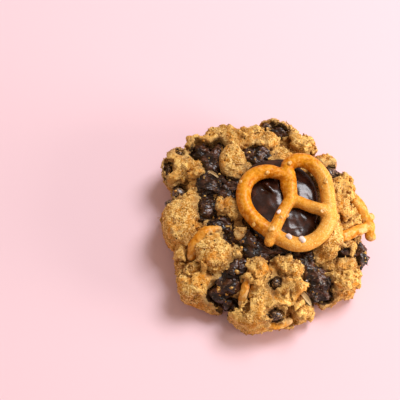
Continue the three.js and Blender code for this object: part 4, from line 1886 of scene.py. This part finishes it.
        upper = corners[:, 2] > 2.0
        stain = numbers["cocoa"][upper]
        self.scatter(self.on_dough, corners[upper], normals[upper], stain, material, rng)
        places, out = (np.vstack(rows) for rows in zip(*chocolate))
        top = (out[:, 2] > 0.35) & (lattice.sample(places) > 0.2)
        self.scatter(self.on_chocolate, places[top], out[top], np.full(top.sum(), 0.8), material, rng)

    def lay_clods(self, rng: np.random.Generator) -> None:
        """Lays down the body and the clods under the chocolate, big ones and then small ones.

        The more broken a clod is, the further its places are moved by the drift.

        Args:
            rng: Where the random numbers come from.
        """
        self.lattice.values = self.body(self.points + self.drift).astype(np.float32)
        for clod in self.CLODS:
            if not clod.over:
                bent = self.points + self.drift * (0.35 + 0.8 * clod.crumble)
                self.add_clod(bent, clod, self.joint)
        self.lattice.values = np.maximum(self.lattice.values, -self.points[..., 2])
        bent = self.points + 0.7 * self.drift
        for clod in self.small_clod_list(rng):
            self.add_clod(bent, clod, self.small_joint)

    def set_chocolate(self, lumps: list[Lump]) -> None:
        """Cuts a ragged pit for each lump of chocolate, round which the dough is broken.

        Args:
            lumps: The lumps, each set in a pit of its own.
        """
        values = self.lattice.values
        ragged = self.lattice.drift(self.noise, self.pit_drift, shift=31.0)
        for lump in lumps:
            margin = max(lump.half) + 9.0
            window = self.lattice.window(lump.centre - margin, lump.centre + margin)
            near = self.points[window] + 0.8 * self.drift[window] + ragged[window]
            pit = lump.pit(near, self.throat) - self.pit_gap
            values[window] = blend_cut(values[window], pit, self.pit_edge)
            away = ellipsoid(near, lump.centre, lump.half + 0.4, lump.turn)
            self.cocoa.values[window] = np.minimum(self.cocoa.values[window], away)
        self.broken = np.maximum(self.broken, 0.9 * smooth_step(-self.cocoa.values, -2.5, -0.5))

    def lay_upper_clods(self) -> None:
        """Adds the clods that lie over chocolate, then cuts the hollows."""
        for clod in self.CLODS:
            if clod.over:
                bent = self.points + self.drift * (0.3 + 0.9 * clod.crumble)
                self.add_clod(bent, clod, self.upper_joint)
        values = self.lattice.values
        for hollow in self.HOLLOWS:
            at = in_frame([hollow.at])[0]
            window = self.lattice.window(at - 8.0, at + 8.0)
            near = self.points[window] + 1.3 * self.drift[window]
            tool = ellipsoid(near, at, np.array(hollow.size), hollow.turn)
            values[window] = blend_cut(values[window], tool, self.pit_edge)

    def finish_numbers(self, corners: Array, normals: Array) -> dict[str, Array]:
        """Numbers at the dough's corners that its finish reads, each from 0 to 1.

        Hollow is how much dough stands round a corner, found at three steps out along its normal; the finish
        darkens it there as painted shade. Crest_highlight is how little lies under it; the finish pales it
        there as a painted highlight. Cocoa is how near chocolate is. Toast is how much the oven browned it.

        Args:
            corners: The corners.
            normals: The normal at each.

        Returns:
            Each number by its name.
        """
        lattice, noise = self.lattice, self.noise
        steps = (1.2, 2.4, 4.0)
        hollow = sum(np.clip(1 - lattice.sample(corners + step * normals) / step, 0, 1) for step in steps) / 3
        crest_highlight = np.clip(1 + lattice.sample(corners - 1.6 * normals) / 1.6, 0, 1)
        near = -self.cocoa.sample(corners)
        low_side = smooth_step(-corners[:, 2], -10.0, -1.0)
        patches = smooth_step(noise.wave(corners, 8.0), 0.1, 0.6)
        return {
            # hollow darkens the colour, a painted shade; crest_highlight pales it, a painted highlight
            "hollow": smooth_step(hollow, 0.3, 0.9),
            "crest_highlight": smooth_step(crest_highlight, 0.1, 0.6),
            "cocoa": smooth_step(near, -1.4, 0.4),
            "smudge": smooth_step(near + 1.5 * noise.wave(corners + 7.0, 4.0), -4.5, -0.5),
            "toast": np.clip(0.6 * low_side + 0.5 * patches, 0.0, 1.0),
        }

    def scatter(
        self,
        crumbs: Crumbs,
        places: Array,
        normals: Array,
        smear: Array,
        material: bpy.types.Material,
        rng: np.random.Generator,
    ) -> None:
        """Makes loose crumbs that cling to a surface: uneven pebbles, each a ball of few faces.

        Each corner of a crumb's ball is moved out or in by a random share.

        Args:
            crumbs: The crumbs. Most of them are small.
            places: Places on the surface.
            normals: The surface's normal at each.
            smear: How stained with chocolate the surface is at each.
            material: The dough's finish.
            rng: Where the random numbers come from.
        """
        count, (least, most) = crumbs.count, crumbs.sizes
        chosen = rng.choice(len(places), count, replace=False)
        pattern, faces = ball(3, 6)
        size = least + (most - least) * rng.uniform(0, 1, (count, 1, 1)) ** 3
        size = size * rng.uniform(*crumbs.squash, (count, 1, 3))
        rough = 1 + rng.uniform(-crumbs.rough, crumbs.rough, (count, len(pattern), 1))
        middles = places[chosen] + crumbs.lift * normals[chosen]
        corners = pattern[None] * rough * size + middles[:, None]
        numbers = (np.arange(count) * len(pattern))[:, None, None]
        zero = np.zeros(count * len(pattern))
        make_piece(
            crumbs.name,
            corners.reshape(-1, 3),
            (faces[None] + numbers).reshape(-1, 3),
            material,
            numbers={
                "hollow": zero,
                # a little painted highlight on every crumb
                "crest_highlight": zero + 0.3,
                "cocoa": np.repeat(smear[chosen], len(pattern)) * 0.6,
                "smudge": zero,
                "toast": zero,
            },
        )


# ---------- salt and oats ----------


@dataclass(frozen=True)
class SaltKind:
    """A kind of salt crystal: its finish, its half-size over half its node's height, and how deep it sits."""

    finish: SaltCrystal
    shape: Triple
    sink: float  # mm


@dataclass
class Salt:
    """Coarse salt crystals on the pretzel: worn cubes, each where its CAD node is."""

    turns: tuple[float, ...] = (20, 50, 10, 35, -50, -52, 75, 40, 60, 5, 30, 45)  # degrees
    power: float = 3.2  # of the rounded cube
    dent: float = 0.3  # mm
    dent_size: float = 1.2  # mm
    dry: tuple[int, ...] = (1, 4, 5)  # the crystals that stayed white; glaze baked over the others
    white: SaltKind = SaltKind(SaltCrystal(), (1.5, 1.1, 1.0), 0.1)
    glazed: SaltKind = SaltKind(
        SaltCrystal("salt_crystal_under_baked_glaze", 0xF0C068, 0xD89428), (1.5, 1.1, 0.7), 0.3
    )

    def build(self, noise: Noise) -> None:
        """Makes each crystal.

        A ball's points are pushed out to |x|^p + |y|^p + |z|^p = 1, a cube with round edges, then
        dented by noise.

        Args:
            noise: The noise that dents them.
        """
        materials = {kind: kind.finish.build() for kind in (self.white, self.glazed)}
        unit, pattern = ball(13, 24)
        cube = unit / (np.abs(unit) ** self.power).sum(1, keepdims=True) ** (1 / self.power)
        for i, turn in enumerate(self.turns):
            node = f"salt_crystal_{i + 1:02d}"
            centre, half = node_box(node)
            kind = self.white if i in self.dry else self.glazed
            corners = about_z(cube * (half[2] * np.array(kind.shape)), turn) + centre - (0, 0, kind.sink)
            corners += self.dent * noise.wave(corners, self.dent_size)[:, None] * unit
            make_piece(f"salt_grain_{i + 1:02d}", corners, pattern, materials[kind], [node])


@dataclass(frozen=True)
class Flake:
    """One oat flake: half its length and width in mm, its turn, and whether its length runs along Y."""

    length: float
    width: float
    turn: float  # degrees
    rise: float  # mm that it lies higher than its CAD node
    along_y: bool


@dataclass
class OatFlakes:
    """Rolled oat flakes on the dough: thin curved ovals, each where its CAD node is."""

    flakes: tuple[Flake, ...] = (Flake(3.9, 0.95, 34.0, 1.5, True), Flake(2.6, 0.6, -35.0, 0.4, False))
    rings: int = 16
    spokes: int = 48
    half_thickness: float = 0.28  # mm
    cup: Pair = (0.9, 0.5)  # mm that its long edges rise and its ends droop
    wave: Pair = (0.25, 1.8)  # mm, height and size of its unevenness
    finish: RolledOat = RolledOat()

    def build(self, noise: Noise) -> None:
        """Makes each flake: an oval of rings and spokes, cupped along its length, with a back and a front.

        Args:
            noise: The noise that waves them.
        """
        material = self.finish.build()
        rings, spokes, thick = self.rings, self.spokes, self.half_thickness
        s = (np.arange(1, rings) / (rings - 1.0))[:, None]
        s = np.concatenate([s, s[::-1][1:]])
        side = np.concatenate([np.ones(rings - 1), -np.ones(rings - 2)])[:, None]
        angle = np.linspace(0, 2 * np.pi, spokes, endpoint=False)[None, :]
        u, v = s * np.cos(angle), s * np.sin(angle)
        height = self.cup[0] * u**2 - self.cup[1] * v**2 + thick * np.sqrt(np.clip(1.02 - s**2, 0, 1)) * side
        for i, flake in enumerate(self.flakes):
            node = f"oat_flake_{i + 1:02d}"
            centre, _ = node_box(node)
            short, long = u * flake.width, v * flake.length
            flat = (short, long) if flake.along_y else (long, short)
            corners, faces = capped(np.stack([*flat, height], -1).reshape(-1, 3), len(s), spokes)
            corners[-2:] = (0, 0, thick), (0, 0, -thick)
            corners += self.wave[0] * noise.wave(corners + 5.0 * i, self.wave[1])[:, None] * (0, 0, 1)
            outward = faces if flake.along_y else faces[:, ::-1]
            placed = about_z(corners, flake.turn) + centre + (0, 0, flake.rise)
            piece = make_piece(f"rolled_oat_{i + 1:02d}", placed, outward, material, [node])
            uv = piece.data.uv_layers.new(name="flake")
            across = corners[outward.ravel(), :2] if flake.along_y else corners[outward.ravel(), 1::-1]
            uv.data.foreach_set("uv", across.astype(np.float32).ravel())


# ---------- stage ----------


@dataclass
class Stage:
    """The floor, the lights and the camera."""

    elevation: float = 66.0  # degrees above the floor that the camera looks down from
    distance: float = 620.0
    aim: Triple = (-26.8, 11.5, 12.0)
    lens: float = 139.5  # mm
    floor_half: float = 3000.0  # wide enough to fill the view
    air: int = 0xFFE4D1  # light from all round
    air_strength: float = 0.44

    def build(self) -> None:
        """Makes them all."""
        self.make_floor()
        self.make_camera()
        self.make_light("key_light", (532, 462, 1064), width=560, power=15.0, colour=0xFAFAFF)
        self.make_light("side_light", (784, -168, 154), width=390, power=7.2, colour=0xFFF6EC)
        world = bpy.data.worlds.new("soft_room")
        world.use_nodes = True
        background = world.node_tree.nodes["Background"]
        background.inputs["Color"].default_value = linear(self.air)
        background.inputs["Strength"].default_value = self.air_strength
        bpy.context.scene.world = world
        bpy.context.scene.view_settings.view_transform = "Standard"

    def make_floor(self) -> None:
        """Makes the plain floor."""
        half = self.floor_half
        corners = np.array([(-half, -half, 0), (half, -half, 0), (half, half, 0), (-half, half, 0)])
        mesh = bpy.data.meshes.new("floor")
        mesh.from_pydata((corners * MM).tolist(), [], [(0, 1, 2, 3)])
        mesh.materials.append(PalePaint().build())
        floor = bpy.data.objects.new("floor", mesh)
        bpy.context.scene.collection.objects.link(floor)

    def make_camera(self) -> None:
        """Makes the camera, level, looking down at the aim from the front."""
        angle = math.radians(self.elevation)
        aim = in_frame([self.aim])[0]
        back = np.array([0.0, -math.cos(angle), math.sin(angle)])
        data = bpy.data.cameras.new("camera")
        data.lens = self.lens
        camera = bpy.data.objects.new("camera", data)
        camera.location = (aim + back * self.distance) * MM
        camera.rotation_euler = (math.pi / 2 - angle, 0.0, 0.0)
        bpy.context.scene.collection.objects.link(camera)
        bpy.context.scene.camera = camera

    def make_light(self, name: str, at: Triple, width: float, power: float, colour: int) -> None:
        """Makes a square soft light at a place, width wide in millimetres, facing the cookie.

        Args:
            name: The light's name.
            at: Its place in millimetres.
            width: Its width in millimetres.
            power: Its power in watts.
            colour: Its colour, an sRGB hex value.
        """
        data = bpy.data.lights.new(name, "AREA")
        data.size = width * MM
        data.energy = power
        data.color = linear(colour)[:3]
        light = bpy.data.objects.new(name, data)
        place = np.array(at) * MM
        light.location = place
        away = place / np.linalg.norm(place)
        light.rotation_euler = (math.acos(away[2]), 0.0, math.atan2(away[1], away[0]) + math.pi / 2)
        bpy.context.scene.collection.objects.link(light)


def main() -> None:
    """Builds the cookie piece by piece, then the stage."""
    noise = Noise(11)
    pretzel = MiniPretzel()
    broken = BrokenPretzel()
    chunks = lumps_of("chocolate_chunk", 24)
    chips = lumps_of("chocolate_chip", 9)
    drop = MeltedDrop(DROP_FINISH)
    pretzel.build(noise)
    broken.build(noise)
    drop.build(noise)
    surfaces = MeltedChunks(chunks, CHUNK_FINISH).build(noise)
    surfaces += Chips(chips, CHIP_FINISH).build(noise)
    Dough(noise).build(pretzel, broken, [*chunks, *chips, drop.lump()], surfaces)
    Salt().build(noise)
    OatFlakes().build(noise)
    Stage().build()


if __name__ == "__main__":
    main()
